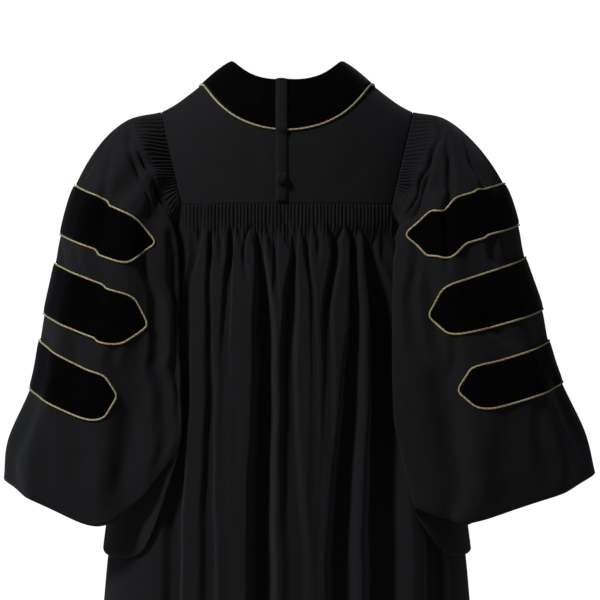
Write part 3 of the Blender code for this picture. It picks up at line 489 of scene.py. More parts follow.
FINISH_INPUTS = ("Roughness", "Sheen Weight", "Sheen Roughness", "Sheen Tint", "Specular IOR Level")
FINISHES = {
    # roughness, sheen, its roughness, its tint, specular
    "poplin_cloth": (0.86, 0.10, 0.55, (0.80, 0.86, 1.0, 1), 0.18),
    "velvet_pile": (0.95, 0.22, 0.32, (0.75, 0.80, 0.95, 1), 0.05),
    "gold_piping": (0.36, 0.25, 0.40, (1.0, 0.93, 0.75, 1), 0.55),
    "black_thread": (0.55, 0.10, 0.40, (0.9, 0.9, 1.0, 1), 0.40),
    "pale_floor": (0.80, 0.00, 0.50, (1.0, 1.0, 1.0, 1), 0.20),
    "white_backdrop": (0.50, 0.00, 0.50, (1.0, 1.0, 1.0, 1), 0.50),
}


def finish_of(name):
    """A new material, its node tree and its shader."""
    made = bpy.data.materials.new(name)
    made.use_nodes = True
    shader = made.node_tree.nodes["Principled BSDF"]
    for socket, value in zip(FINISH_INPUTS, FINISHES[name]):
        shader.inputs[socket].default_value = value
    return made, made.node_tree, shader


def node(tree, kind, output, inputs, **settings):
    """An output of a new node; an input is a value or the output of another node."""
    added = tree.nodes.new(kind)
    for name, value in settings.items():
        setattr(added, name, value)
    for name, value in inputs.items():
        if isinstance(value, bpy.types.NodeSocket):
            tree.links.new(value, added.inputs[name])
        else:
            added.inputs[name].default_value = value
    return added.outputs[output]


def cloth_uv(tree):
    return node(tree, "ShaderNodeUVMap", "UV", {}, uv_map="cloth")


def object_place(tree):
    return node(tree, "ShaderNodeTexCoord", "Object", {})


def stretched(tree, vector, scale):
    return node(tree, "ShaderNodeMapping", "Vector", {"Vector": vector, "Scale": scale})


def threads(tree, vector, pitch, turn=0.0):
    """One set of threads of the weave, as a wave along the cloth."""
    turned = node(tree, "ShaderNodeMapping", "Vector", {"Vector": vector, "Rotation": (0.0, 0.0, turn)})
    wave = {"Vector": turned, "Scale": 1 / (pitch * 20), "Distortion": 0.4, "Detail": 1.0}
    return node(tree, "ShaderNodeTexWave", "Fac", wave, wave_type="BANDS", bands_direction="X")


def noise(tree, vector, scale, detail=3.0, roughness=0.5):
    grain = {"Vector": vector, "Scale": scale, "Detail": detail, "Roughness": roughness}
    return node(tree, "ShaderNodeTexNoise", "Fac", grain)


def maths(tree, operation, a, b):
    return node(tree, "ShaderNodeMath", "Value", {0: a, 1: b}, operation=operation)


def weighed(tree, *terms):
    """The sum of two values, each with its weight."""
    a, b = (maths(tree, "MULTIPLY", value, weight) for value, weight in terms)
    return maths(tree, "ADD", a, b)


def coloured(tree, shader, factor, low, high, start=0.3, end=0.7):
    """Turns a grey value into the base colour, between two colours."""
    colour = node(tree, "ShaderNodeValToRGB", "Color", {"Fac": factor})
    for element, position, value in zip(colour.node.color_ramp.elements, (start, end), (low, high)):
        element.position = position
        element.color = (*value, 1)
    tree.links.new(colour, shader.inputs["Base Color"])


def bump(tree, shader, height, strength, distance):
    relief = {"Height": height, "Strength": strength, "Distance": distance}
    tree.links.new(node(tree, "ShaderNodeBump", "Normal", relief), shader.inputs["Normal"])


def poplin():
    """Matte black poplin: crossed fine threads, with slight streaks down the cloth."""
    made, tree, shader = finish_of("poplin_cloth")
    cloth = cloth_uv(tree)
    weave = maths(tree, "MAXIMUM", threads(tree, cloth, 0.00042), threads(tree, cloth, 0.00056, math.pi / 2))
    streaks = noise(tree, stretched(tree, cloth, (420.0, 60.0, 1.0)), 1.0, 4.0, 0.6)
    mottle = noise(tree, stretched(tree, cloth, (26.0, 26.0, 1.0)), 1.0, 3.0, 0.6)
    tone = weighed(tree, (streaks, 0.55), (mottle, 0.45))
    coloured(tree, shader, tone, (0.0135, 0.0138, 0.0152), (0.0175, 0.0180, 0.0200), 0.34, 0.68)
    bump(tree, shader, weighed(tree, (weave, 1.0), (streaks, 1.2)), 0.35, 0.00012)
    return made


def velvet():
    """Black velvet: a dense short pile whose nap lies unevenly."""
    made, tree, shader = finish_of("velvet_pile")
    place = object_place(tree)
    nap = noise(tree, place, 55.0, 4.0, 0.65)
    pile = noise(tree, place, 1900.0, 2.0, 0.6)
    coloured(tree, shader, nap, (0.0016, 0.0016, 0.0017), (0.0030, 0.0030, 0.0033), 0.42, 0.72)
    bump(tree, shader, weighed(tree, (pile, 1.0), (nap, 2.0)), 0.5, 0.0004)
    return made


def gold_piping():
    """Pale gold satin cut on the bias and wrapped over a cord."""
    made, tree, shader = finish_of("gold_piping")
    cloth = cloth_uv(tree)
    bias = threads(tree, cloth, 0.0009, math.radians(52))
    patches = noise(tree, stretched(tree, cloth, (70.0, 500.0, 1.0)), 1.0, 2.0)
    tone = weighed(tree, (bias, 0.35), (patches, 0.65))
    coloured(tree, shader, tone, (0.62, 0.42, 0.13), (0.93, 0.79, 0.47), 0.25, 0.62)
    bump(tree, shader, bias, 0.5, 0.0003)
    return made


def black_thread():
    """Sewing thread with a slight lustre and a twist."""
    made, tree, shader = finish_of("black_thread")
    twist = noise(tree, object_place(tree), 2600.0, 1.0)
    coloured(tree, shader, twist, (0.0120, 0.0120, 0.0144), (0.020, 0.020, 0.024))
    return made


def pale_floor():
    made, tree, shader = finish_of("pale_floor")
    coloured(tree, shader, noise(tree, object_place(tree), 3.0), (0.88, 0.88, 0.88), (0.92, 0.92, 0.92))
    return made


def white_backdrop():
    made, _, shader = finish_of("white_backdrop")
    shader.inputs["Base Color"].default_value = (1.0, 1.0, 1.0, 1)
    shader.inputs["Emission Color"].default_value = (1.0, 1.0, 1.0, 1)
    shader.inputs["Emission Strength"].default_value = 1.0
    return made


POPLIN = poplin()
VELVET = velvet()
GOLD = gold_piping()
THREAD = black_thread()


def belongs(piece, material_slot, *nodes):
    """A piece rides on the gown and stands for its solids."""
    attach(piece, "root")
    if nodes:
        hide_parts(*nodes)
    return piece


# Sewing


STITCH_WIDTH = 0.00028
STITCH_FACES = ((0, 1, 2), (0, 2, 3), (4, 2, 1), (4, 3, 2), (0, 5, 1), (0, 3, 5), (4, 1, 5), (4, 5, 3))


class Seams:
    """Gathers stitches along lines into one joined mesh."""

    def __init__(self):
        self.points = []
        self.faces = []

    def run(self, path, normals, wall, length, gap):
        """Short raised stitches along a path in the middle of a wall of cloth."""
        path = path + normals * wall / 2
        total = lengths(path)
        for start in np.arange(0.001, total[-1] - length, length + gap):
            near, middle, far = (at_length(path, total, start + length * t) for t in (0.0, 0.5, 1.0))
            up = at_length(normals, total, start + length / 2)
            aside = unit(np.cross(up, far - near)) * STITCH_WIDTH
            first = len(self.points)
            top, bottom = middle + up * STITCH_WIDTH, middle - up * STITCH_WIDTH / 2
            self.points += [near, middle + aside, top, middle - aside, far, bottom]
            self.faces += [(first + a, first + b, first + c) for a, b, c in STITCH_FACES]

    def made(self, name, finish):
        return belongs(mesh_piece(name, self.points, self.faces, finish), "poplin")


SEAMS = Seams()


# The back panel

BACK_COLUMNS = BACK_FLUTES * 7
SIDE_FLARE = 7
TUCK_DEPTH = 0.0022
TUCK_LENGTH = 0.0008
HEM_LINE = 1.104
BACK_BELOW = stops((-0.004, 0.082, 40), (0.082, 0.220, 24), (0.220, 1.122, 48))
BACK_CREASES = (
    # depth, half width, then places (x, z) along the crease, in millimetres
    (7, 3.2, (62, -243), (70, -262), (72.5, -285), (71, -310), (66, -345)),
    (6, 3.5, (86, -247), (80, -262), (74, -280)),
    (6, 3.8, (92, -240), (97, -262), (96, -330)),
    (6.5, 3.8, (121, -245), (115, -268), (110, -310)),
    (6, 3.5, (126, -246), (133, -268), (132, -320)),
    (7, 4.2, (146, -245), (152, -270), (160, -330)),
    (8.5, 4.8, (62, -240), (52, -260), (46, -300)),
    (8, 4, (38, -240), (28, -262), (22, -312)),
    (7.5, 3.8, (14, -214), (8, -230), (-2, -252), (-12, -300)),
    (6, 3.6, (16, -240), (4, -260), (-8, -290)),
    (7, 3.5, (-22, -242), (-31, -268), (-38, -330)),
    (6, 3.5, (-48, -244), (-54, -270), (-54, -305)),
    (8.5, 4.5, (-68, -240), (-79, -266), (-81, -310)),
    (6, 3.5, (-96, -244), (-88, -262), (-84, -290)),
    (8.5, 4.6, (-102, -242), (-111, -266), (-115, -320)),
    (8, 4.2, (-124, -244), (-135, -270), (-145, -320)),
    (4, 7, (-158, -246), (-163, -276), (-166, -310)),
    (2, 8, (92, -420), (88, -560), (84, -700)),
    (2, 8, (-18, -400), (-22, -560), (-20, -640)),
    (2.5, 9, (-48, -560), (-52, -680), (-50, -860)),
    (3, 11, (96, -720), (94, -900), (98, -1320)),
    (4, 11, (20, -860), (18, -1050), (14, -1325)),
    (4, 12, (-106, -880), (-108, -1050), (-112, -1325)),
    (4, 12, (168, -860), (172, -1050), (170, -1325)),
)


PLEAT_REACH = 1.45
PLEAT_WALL = 0.95


def pleat(distance, half_width):
    """A deep fold's share of its depth: a round shoulder, a steep wall and a narrow floor."""
    return ease((PLEAT_REACH - np.abs(distance) / half_width) / PLEAT_WALL)


def back_grid(shares, z):
    """The back panel with its folds and flutes; shares run from -1 to 1 across it."""
    share, z = np.meshgrid(shares, z)
    flare = np.sign(share) * np.abs(share) ** SIDE_FLARE * (armhole_limit(z) - CORNER_ANGLE)
    smooth = oval_point(z, share * CORNER_ANGLE + flare)
    normals = surface_normals(smooth)
    below = YOKE_SEAM_Z - z
    x = smooth[..., 0] + waver((0.0012, z * 21, 0.4), (0.0008, z * 47 + share * 9.0, 1.7))
    relief = 0.003 * ease((below - 0.06) / 0.1)
    for places, depths, half_widths in BACK_FOLDS:
        middle, depth, half_width = (
            through(BACK_FOLD_HEIGHTS, np.array(values) / 1000, -z)
            for values in (places, depths, half_widths))
        relief -= depth * ease((below - 0.028) / 0.055) * pleat(x - middle, half_width)
    relief += crease(1000 * x, 1000 * z, BACK_CREASES)
    relief *= ease((1 - np.abs(share)) / 0.06)
    relief += back_flutes(smooth[..., 0], share, below)
    relief -= TUCK_DEPTH * ease((TUCK_LENGTH - below) / 0.0025)
    return smooth + normals * relief[..., None], normals


def back_flutes(x, share, below):
    """Upright rounded flutes with sharp valleys, uneven in pitch, depth and length."""
    place = x / YOKE_HALF
    drift = waver((0.55, place * 17, 0.3), (0.35, place * 41, 1.1))
    drift = drift + 0.5 * np.sin(place * 23 + 2.0) * ease((below - 0.020) / 0.04)
    phase = np.pi * BACK_FLUTES * (place + 1) + drift * ease(below / 0.01)
    length = 0.060 + waver((0.007, place * 29, 0.7), (0.009, place * 67, 0.2))
    height = FLUTE_HEIGHT * (0.4 + 0.6 * ease(below / 0.004)) * ease((length - below) / 0.036)
    height *= 1 + waver((0.18, place * 37, 0.9), (0.15, place * 83, 2.2))
    height *= ease((1.03 - np.abs(place)) / 0.04) * ease((1 - np.abs(share)) / 0.03)
    return height * (2 * np.abs(np.cos(phase / 2)) ** 0.7 - 1.4)


def build_back_panel():
    shares = np.linspace(-1, 1, BACK_COLUMNS + 1)
    points, normals = back_grid(shares, YOKE_SEAM_Z - BACK_BELOW)
    piece = belongs(shell("back_panel_cloth", points, SHELL, POPLIN), "poplin", "back_panel")
    hem = np.argmin(np.abs(BACK_BELOW - HEM_LINE))
    picked = slice(4, -4)
    SEAMS.run(points[hem, picked], normals[hem, picked], SHELL, *HEM_STITCH)


# The yoke and the collar, on rays from the neck edge

YOKE_CORNER = 0.5
YOKE_TURNS = np.linspace(-1, 1, 181)
SEAM_LINE = 1.955
COLLAR_EDGE = 0.967
YOKE_OUTS = stops((0.0, 1.0, 16), (1.0, 2.0, 44))


def neck_line(t, back_z, shoulder_x, power):
    """A line round the neck, from the centre of the back to both shoulder seams."""
    start = arch_angle(0.0, np.array(back_z))
    x = np.sign(t) * shoulder_x * np.sin(np.pi / 2 * np.abs(t))
    return x, mix(start, SHOULDER_SEAM_ANGLE, np.abs(t) ** power)


def yoke_edge(t):
    """The yoke's outer edge: half of it the bottom seam, half of it the armhole."""
    angle = SHOULDER_SEAM_ANGLE * np.clip((np.abs(t) - YOKE_CORNER) / (1 - YOKE_CORNER), 0, 1)
    side = np.sign(t) * armhole_arch(angle)
    return np.where(np.abs(t) <= YOKE_CORNER, YOKE_HALF * t / YOKE_CORNER, side), angle


def yoke_point(t, out):
    """out runs from 0 at the neck edge, by 1 at the collar's edge, to 2 at the outer edge."""
    neck = neck_line(t, NECK_BACK_Z, NECK_HALF, 2.4)
    collar = neck_line(t, COLLAR_BACK_Z, COLLAR_SHOULDER_X, 2.0)
    outer = yoke_edge(t)
    inside = out < 1
    near = [np.where(inside, a, b) for a, b in zip(neck, collar)]
    far = [np.where(inside, a, b) for a, b in zip(collar, outer)]
    share = np.where(inside, out, out - 1)
    return arch_point(mix(near[0], far[0], share), mix(near[1], far[1], share))


YOKE_CREASES = (
    # depth, half width, then places (x, z) along the crease, in millimetres
    (1.2, 16, (150, -50), (120, -110), (110, -190)),
    (1.2, 16, (-145, -55), (-118, -120), (-112, -195)),
    (1, 12, (-30, -95), (-34, -150), (-30, -200)),
    (1, 12, (50, -95), (56, -140), (52, -200)),
    (0.9, 10, (168, -100), (120, -150), (70, -185)),
    (0.9, 10, (-168, -95), (-120, -150), (-75, -188)),
)


def yoke_grid(turns, outs, puff=0.0):
    t, out = np.meshgrid(turns, outs)
    points = yoke_point(t, out)
    normals = surface_normals(points)
    x, y, z = np.moveaxis(points, -1, 0)
    relief = crease(1000 * x, 1000 * z, YOKE_CREASES) * ease((y - 0.02) / 0.02)
    relief *= ease((2.0 - out) / 0.08)
    return points + normals * (relief + puff)[..., None], normals


def build_yoke():
    points, normals = yoke_grid(YOKE_TURNS, YOKE_OUTS)
    piece = belongs(shell("back_yoke_cloth", points, SHELL, POPLIN), "poplin", "back_yoke")
    seam = np.argmin(np.abs(YOKE_OUTS - SEAM_LINE))
    picked = np.abs(YOKE_TURNS) < YOKE_CORNER - 0.01
    SEAMS.run(points[seam, picked], normals[seam, picked], SHELL, *SEAM_STITCH)


def build_collar():
    """The velvet lies on the yoke, a little fuller in its middle than at its edges."""
    turns = np.linspace(-1, 1, 201)
    outs = np.linspace(0.0, COLLAR_EDGE, 25)
    puff = BAND_LIFT + COLLAR_FULLNESS * np.sin(np.pi * np.clip(outs / COLLAR_EDGE, 0, 1))[:, None] ** 0.5
    points, _ = yoke_grid(turns, outs, puff)
    piece = belongs(shell("collar_velvet", points, VELVET_SHELL, VELVET), "velvet", "collar_back")


def build_collar_piping():
    turns = np.linspace(-0.994, 0.994, 161)
    near = [yoke_point(turns, np.full_like(turns, out)) for out in (0.98, 1.0, 1.02)]
    normals = surface_normals(np.stack(near))[1]
    path = beside(near[1], normals, BESIDE, PIPING_LIFT)
    belongs(tube("collar_piping", path, normals, PIPING_RADIUS, GOLD), "piping", "piping_collar")


# The fronts, from the shoulder seams to the hem

FRONT_LEVELS = stops((0.0, 1.0, 40), (1.0, 1.2, 20), (1.2, 2.0, 52))
BAND_COLUMNS = 14
FRONT_COLUMNS = 84
FRONT_CREASES = (
    # depth, half width, then places (distance from the centre, z) along the crease, in millimetres
    (4, 9, (168, -215), (150, -300), (146, -420)),
    (3.5, 8, (190, -300), (176, -380), (168, -520)),
    (3, 10, (214, -330), (205, -450), (200, -640)),
    (3, 10, (128, -420), (126, -600), (130, -820)),
    (3.5, 12, (165, -700), (170, -950), (172, -1310)),
    (3.5, 12, (250, -750), (262, -1000), (270, -1310)),
    (2.5, 10, (140, -70), (130, -130), (132, -200)),
)


def neck_x(angle):
    """The V neck: from the shoulder seam's neck end down to the centre at the yoke seam's height."""
    x = np.full(np.shape(angle), NECK_HALF)
    for _ in range(12):
        z = arch_point(x, angle)[..., 2]
        drop = np.clip((z - YOKE_SEAM_Z) / (NECK_POINT_Z - YOKE_SEAM_Z), 0.0, None)
        x = CENTRE_GAP / 2 + (NECK_HALF - CENTRE_GAP / 2) * drop**0.9
    return x


def front_smooth(share, level):
    """A front without folds; level 0 is the shoulder seam, 1 the V's bottom, 2 the hem."""
    angle = mix(SHOULDER_SEAM_ANGLE + SHOULDER_GAP_ANGLE, np.pi, np.clip(level, 0, 1))
    spacing = oval_point(np.full(np.shape(share), YOKE_SEAM_Z), share * CORNER_ANGLE)[..., 0] / YOKE_HALF
    upper = arch_point(mix(neck_x(angle), armhole_arch(angle), spacing), angle)
    z = mix(YOKE_SEAM_Z, HEM_Z, np.clip(level - 1, 0, 1))
    inner = CENTRE_GAP / 2 / through(BODY_DOWN, BODY_FRONT, -z)
    lower = oval_point(z, np.pi - mix(inner, armhole_limit(z), share))
    return np.where((level <= 1)[..., None], upper, lower)


def band_share(level):
    reach = mix(COLLAR_SHOULDER_X, FRONT_BAND_CHEST, ease(np.minimum(level, 1.0)))
    reach = mix(reach, FRONT_BAND_WIDTH, ease((level - 1) / 0.3))
    return solve(lambda share: front_smooth(share, level)[..., 0], reach, 0.0, 1.0)


def front_grid(levels, columns):
    """Columns from 0 to 1 span the band, and from 1 to 2 the rest of the front."""
    edge = band_share(levels)
    column, level = np.meshgrid(columns, levels)
    share = np.where(column <= 1, column * edge[:, None], mix(edge[:, None], 1.0, column - 1))
    smooth = front_smooth(share, level)
    normals = surface_normals(smooth, -1.0)
    z = smooth[..., 2]
    x = smooth[..., 0] + waver((0.0020, z * 19, 1.1), (0.0012, z * 43, 0.3))
    relief = np.zeros(x.shape)
    for fold in FRONT_FOLDS:
        middle, depth = (through(FRONT_FOLD_HEIGHTS, values, -z) for values in (fold[:3], fold[3:6]))
        relief -= depth * pleat(x - middle, 0.8 * fold[6])
    relief *= ease((YOKE_SEAM_Z - z - 0.02) / 0.12)
    relief += crease(1000 * x, 1000 * z, FRONT_CREASES)
    relief *= ease((smooth[..., 0] - FRONT_BAND_WIDTH - 0.008) / 0.015) * ease((1 - share) / 0.06)
    relief *= ease((column - 1) / 0.08)
    return smooth + normals * relief[..., None], normals


def build_fronts():
    columns = stops((0.0, 1.0, BAND_COLUMNS), (1.0, 2.0, FRONT_COLUMNS))
    points, _ = front_grid(FRONT_LEVELS, columns)
    band_levels = stops((0.0, 1.0, 70), (1.0, 2.0, 130))
    band_columns = np.linspace(0.0, 1.0, 19)
    band, band_normals = front_grid(band_levels, band_columns)
    fullness = BAND_FULLNESS * np.sin(np.pi * band_columns) ** 0.5
    raised = band + band_normals * (BAND_LIFT + fullness)[None, :, None]
    edge, edge_normals = band[:, -1], band_normals[:, -1]
    for side, word in ((1, "left"), (-1, "right")):
        flip = side > 0
        front = shell(f"front_{word}_cloth", mirrored(points, side), SHELL, POPLIN, flip)
        belongs(front, "poplin", "front_" + word)
        trim = shell(f"front_band_{word}_velvet", mirrored(raised, side), VELVET_SHELL, VELVET, flip)
        belongs(trim, "velvet", "front_band_" + word)
        line, up = mirrored(edge, side), mirrored(edge_normals, side)
        path = beside(line, up, side * BESIDE, PIPING_LIFT)
        belongs(tube(f"front_{word}_piping", path, up, PIPING_RADIUS, GOLD), "piping", "piping_front_" + word)


# The sleeves


def body_y(x, z, back):
    width = through(BODY_DOWN, BODY_WIDTH, -z)
    depth = through(BODY_DOWN, BODY_BACK if back else BODY_FRONT, -z)
    return depth * (1 - np.minimum(x / width, 0.97) ** OVAL_POWER) ** (1 / OVAL_POWER)


def ring_points(row):
    """A ring's ten points, for the left sleeve's side."""
    ox, oz, mx, mz, fx, fz, tuck_z, under_z, front_z, back, front = row
    width = through(BODY_DOWN, BODY_WIDTH, -under_z)
    tuck_x = fx + 0.055
    inner_x = fx + 0.034
    return np.array((
        (ox, 0.0, oz),
        (mix(ox, mx, 0.30), back * 0.74, mix(oz, mz, 0.36)),
        (mx, back, mz),
        (mix(mx, fx, 0.55), max(back * 0.97, body_y(fx, fz, True) + 0.026), mix(mz, fz, 0.4)),
        (fx, body_y(fx, fz, True) + 0.016, fz),
        (tuck_x, body_y(tuck_x, tuck_z, True) + BODY_CLEARANCE, tuck_z),
        (width + BODY_CLEARANCE, 0.0, under_z),
        (inner_x, -body_y(inner_x, under_z, False) - 0.014, mix(front_z, under_z, 0.6)),
        (mx, -front, front_z),
        (mix(ox, mx, 0.30), -front * 0.74, mix(oz, front_z, 0.36)),
    ))


RINGS = {side: np.array([ring_points(row) for row in rows])
         for side, rows in ((1, LEFT_SLEEVE), (-1, RIGHT_SLEEVE))}
LAST_RING = len(LEFT_SLEEVE)


def spline(a, b, c, d, t):
    """A smooth curve from b to c, with a before it and d after it."""
    return (b + (c - a) * (t / 2) + (2 * a - 5 * b + 4 * c - d) * (t * t / 2)
            + (3 * b - a - 3 * c + d) * (t**3 / 2))


def head_point(at):
    """The sleeve head's edge: the armhole, moved off the body pieces by the seam's gap."""
    here = armhole_point(at)
    flat = np.hypot(here[..., 0], here[..., 1])
    under = ease(3.0 - np.abs(at - UNDER))
    aside_x = mix(HEAD_GAP, here[..., 0] / flat * SEAM_CLEARANCE, under)
    aside_y = mix(0.0, here[..., 1] / flat * SEAM_CLEARANCE, under)
    return here + stack(aside_x, aside_y, 0.0)


def clear_of_body(point, clearance):
    """Moves points straight out where they would come too near the body."""
    angle = np.arctan2(point[..., 0], point[..., 1])
    radius = np.hypot(point[..., 0], point[..., 1])
    body = oval_point(np.minimum(point[..., 2], YOKE_SEAM_Z), angle)
    nearest = np.hypot(body[..., 0], body[..., 1]) + clearance
    spare = radius - nearest
    wanted = nearest + (spare + np.hypot(spare, 0.003)) / 2
    scale = mix(1.0, wanted / radius, ease((YOKE_SEAM_Z - point[..., 2]) / 0.008))
    return point * stack(scale, scale, 1.0)


def sleeve_smooth(side, down, at):
    """The left-hand form of a sleeve without folds; down counts rings from the head."""
    down, at = np.broadcast_arrays(np.asarray(down, float), np.mod(at, RING_POINTS))
    i = np.floor(at).astype(int) % RING_POINTS
    part = (at - np.floor(at))[..., None]
    ring = np.minimum(np.floor(down).astype(int), LAST_RING - 1)

    def on_ring(number):
        held = np.clip(number - 1, 0, LAST_RING - 1)
        points = spline(*(RINGS[side][held, (i + k) % RING_POINTS] for k in (-1, 0, 1, 2)), part)
        return np.where((number <= 0)[..., None], head_point(at), points)

    before, here, after, beyond = (on_ring(np.clip(ring + k, 0, LAST_RING)) for k in (-1, 0, 1, 2))
    before = np.where((ring == 0)[..., None], 2 * here - after, before)
    beyond = np.where((ring + 2 > LAST_RING)[..., None], 2 * after - here, beyond)
    point = spline(before, here, after, beyond, (down - ring)[..., None])
    clear = clear_of_body(point, mix(SEAM_CLEARANCE, BODY_CLEARANCE, ease(down / 0.7)))
    return np.where((down <= 0)[..., None], point, clear)


def sleeve_normal(side, down, at):
    down = np.clip(down, 0.02, LAST_RING - 0.001)
    across = sleeve_smooth(side, down, at + 1e-3) - sleeve_smooth(side, down, at - 1e-3)
    along = sleeve_smooth(side, down + 1e-3, at) - sleeve_smooth(side, down - 1e-3, at)
    return unit(np.cross(along, across))


# A row is a crease: its depth in millimetres, then its half width and its places, (round the ring,
# down in rings), in hundredths
LEFT_CREASES = (
    (10, 9, (40, 95), (80, 98), (155, 96), (278, 102), (348, 118), (385, 160)),
    (11, 10, (75, 105), (143, 125), (183, 145), (253, 180), (295, 260)),
    (7, 10, (80, 160), (145, 260), (170, 320), (172, 410)),
    (6, 10, (30, 130), (50, 195), (70, 280)),
    (14, 13, (275, 300), (293, 380), (311, 454), (327, 560), (339, 720), (346, 860), (355, 990)),
    (13, 15, (350, 190), (366, 300), (378, 440), (384, 580), (380, 740), (376, 880)),
    (5, 10, (118, 400), (122, 455), (145, 520), (160, 600)),
    (5, 10, (40, 405), (55, 450), (80, 500)),
    (6, 12, (133, 570), (145, 640), (180, 720)),
    (6, 12, (230, 580), (240, 660), (270, 780)),
    (6, 14, (113, 810), (120, 870), (145, 950)),
    (10, 22, (285, 760), (260, 880), (245, 995)),
    (7, 18, (190, 800), (185, 890), (180, 995)),
    (6, 16, (70, 805), (60, 890), (55, 990)),
    (8, 12, (700, 120), (800, 102), (900, 98), (970, 96)),
    (9, 12, (810, 110), (790, 220), (785, 340)),
    (8, 11, (890, 120), (860, 230), (855, 330)),
    (7, 12, (830, 400), (820, 510), (825, 680)),
    (9, 20, (760, 720), (790, 860), (805, 990)),
    (9, 19, (890, 800), (890, 900), (895, 990)),
)
RIGHT_CREASES = (
    (10, 9, (40, 90), (134, 98), (202, 102), (278, 120), (330, 145), (362, 160)),
    (11, 10, (73, 100), (134, 140), (171, 214), (195, 260), (225, 320), (239, 405), (240, 460)),
    (8, 10, (160, 105), (210, 125), (278, 183), (311, 213), (320, 290)),
    (6, 10, (40, 140), (95, 220), (125, 300), (135, 380)),
    (10, 10, (362, 127), (395, 160), (405, 240), (390, 340)),
    (8, 12, (320, 320), (330, 420), (335, 540), (325, 680)),
    (9, 9, (146, 395), (138, 430), (130, 470), (110, 510)),
    (8, 9, (180, 580), (162, 620), (150, 670)),
    (6, 10, (245, 590), (260, 660), (275, 740)),
    (6, 14, (280, 440), (286, 540), (284, 660)),
    (9, 12, (116, 795), (120, 846), (124, 914), (120, 960)),
    (6, 12, (60, 760), (55, 860), (50, 960)),
    (10, 22, (300, 710), (270, 840), (240, 995)),
    (8, 18, (190, 830), (180, 900), (175, 995)),
    (8, 12, (700, 125), (800, 102), (900, 98), (970, 96)),
    (9, 12, (800, 110), (780, 210), (775, 320)),
    (8, 11, (880, 120), (870, 230), (865, 310)),
    (7, 12, (810, 420), (815, 530), (810, 690)),
    (9, 20, (770, 730), (800, 850), (810, 990)),
    (9, 19, (900, 810), (900, 900), (910, 990)),
)
CREASES = {1: LEFT_CREASES, -1: RIGHT_CREASES}


def sleeve_flutes(down, at):
    """The gathers stand on the back and the front half of the head, not under the arm."""
    height = np.zeros(np.broadcast(down, at).shape)
    for start, end in (BACK_GATHERS, FRONT_GATHERS):
        place = (at - start) / (end - start)
        inside = np.clip(place, 0, 1)
        drift = waver((0.35, inside * 13, 0.4), (0.25, inside * 31, 1.3), (0.5, inside * 17 + down * 4, 0.2))
        phase = 2 * np.pi * SLEEVE_FLUTES * inside + np.pi + drift * ease(down)
        length = 0.92 + waver((0.10, inside * 23, 0.6), (0.08, inside * 53, 1.9))
        tall = SLEEVE_FLUTE_HEIGHT * ease(down / 0.1 + 0.3) * ease((length - down) / 0.45)
        tall = tall * ease(inside * SLEEVE_FLUTES / 2) * ease((1 - inside) * SLEEVE_FLUTES / 2)
        height += tall * (2 * np.abs(np.cos(phase / 2)) ** 0.85 - 1.0) * ((place > 0) & (place < 1))
    return height


def sleeve_relief(side, down, at):
    share = down / LAST_RING
    turned = at + waver((0.05, down * 2.1, 0.3), (0.03, down * 4.7, 1.2))
    relief = np.zeros(np.broadcast(down, at).shape)
    for head, hem, *rest in SLEEVE_FOLDS:
        depth = through((0.0, 0.1, 0.45, 1.0), (0.0, *rest[:3]), share)
        relief -= depth * trough(turned - mix(head, hem, share), rest[3])
    return relief + crease(100 * turned, 100 * down, CREASES[side]) + sleeve_flutes(down, at)


def sleeve_point(side, down, at):
    """A sleeve's surface and its normal, on its own side."""
    down, at = np.broadcast_arrays(np.asarray(down, float), np.mod(at, RING_POINTS))
    normal = sleeve_normal(side, down, at)
    point = sleeve_smooth(side, down, at) + normal * sleeve_relief(side, down, at)[..., None]
    return mirrored(point, side), mirrored(normal, side)


SLEEVE_HEM_LINE = 9.72
SLEEVE_DOWNS = stops((0.0, 1.2, 26), (1.2, 3.0, 22), (3.0, 8.0, 46), (8.0, 10.0, 22))
SLEEVE_AROUND = stops((0.0, 0.25, 4), (0.25, 4.0, SLEEVE_FLUTES * 6), (4.0, 7.0, 34),
                      (7.0, 9.75, SLEEVE_FLUTES * 5), (9.75, 10.0, 4))[:-1]
SEAM_ALLOWANCE = (
    # how far off the edge of the body pieces, and how far inside them, for each row of it
    (-0.0050, 0.0028),
    (0.0013, 0.0019),
)


def build_sleeve(side, word):
    """The sleeve's head is turned in under the edges of the yoke and the body."""
    down, at = np.meshgrid(SLEEVE_DOWNS, SLEEVE_AROUND, indexing="ij")
    points, normals = sleeve_point(side, down, at)
    turned_in = np.stack([mirrored(armhole_point(SLEEVE_AROUND, *row), side) for row in SEAM_ALLOWANCE])
    cloth = np.concatenate((turned_in, points))
    piece = shell(f"sleeve_{word}_cloth", cloth, SHELL, POPLIN, side < 0, closed=True)
    belongs(piece, "poplin", "sleeve_" + word)
    hem = np.argmin(np.abs(SLEEVE_DOWNS - SLEEVE_HEM_LINE))
    SEAMS.run(points[hem], normals[hem], SHELL, *HEM_STITCH)


# Velvet bars and their piping

BAR_STEPS = {
    # the place of the step, and how far down the inner part is shifted, in rings
    (1, 1): (1.68, 0.100),
    (1, 2): (1.92, 0.065),
    (-1, 1): (1.46, 0.055),
}
BAR_ROUNDING = 0.10
CORNER_REACH = 0.22
POINT_ROUNDING = 0.05
PIPING_STEP = 0.0028
WAVY_BAR = (-1, 1)
WAVE_PLACE, WAVE_REACH, WAVE_DROP = 2.30, 0.50, 0.21


def reach_place(side, down, x, front):
    """The place round a ring where it reaches a distance from the centre plane."""
    way = -1 if front else 1
    return way * solve(lambda at: -sleeve_smooth(side, down, way * at)[..., 0], -x, 0.0, 3.4)


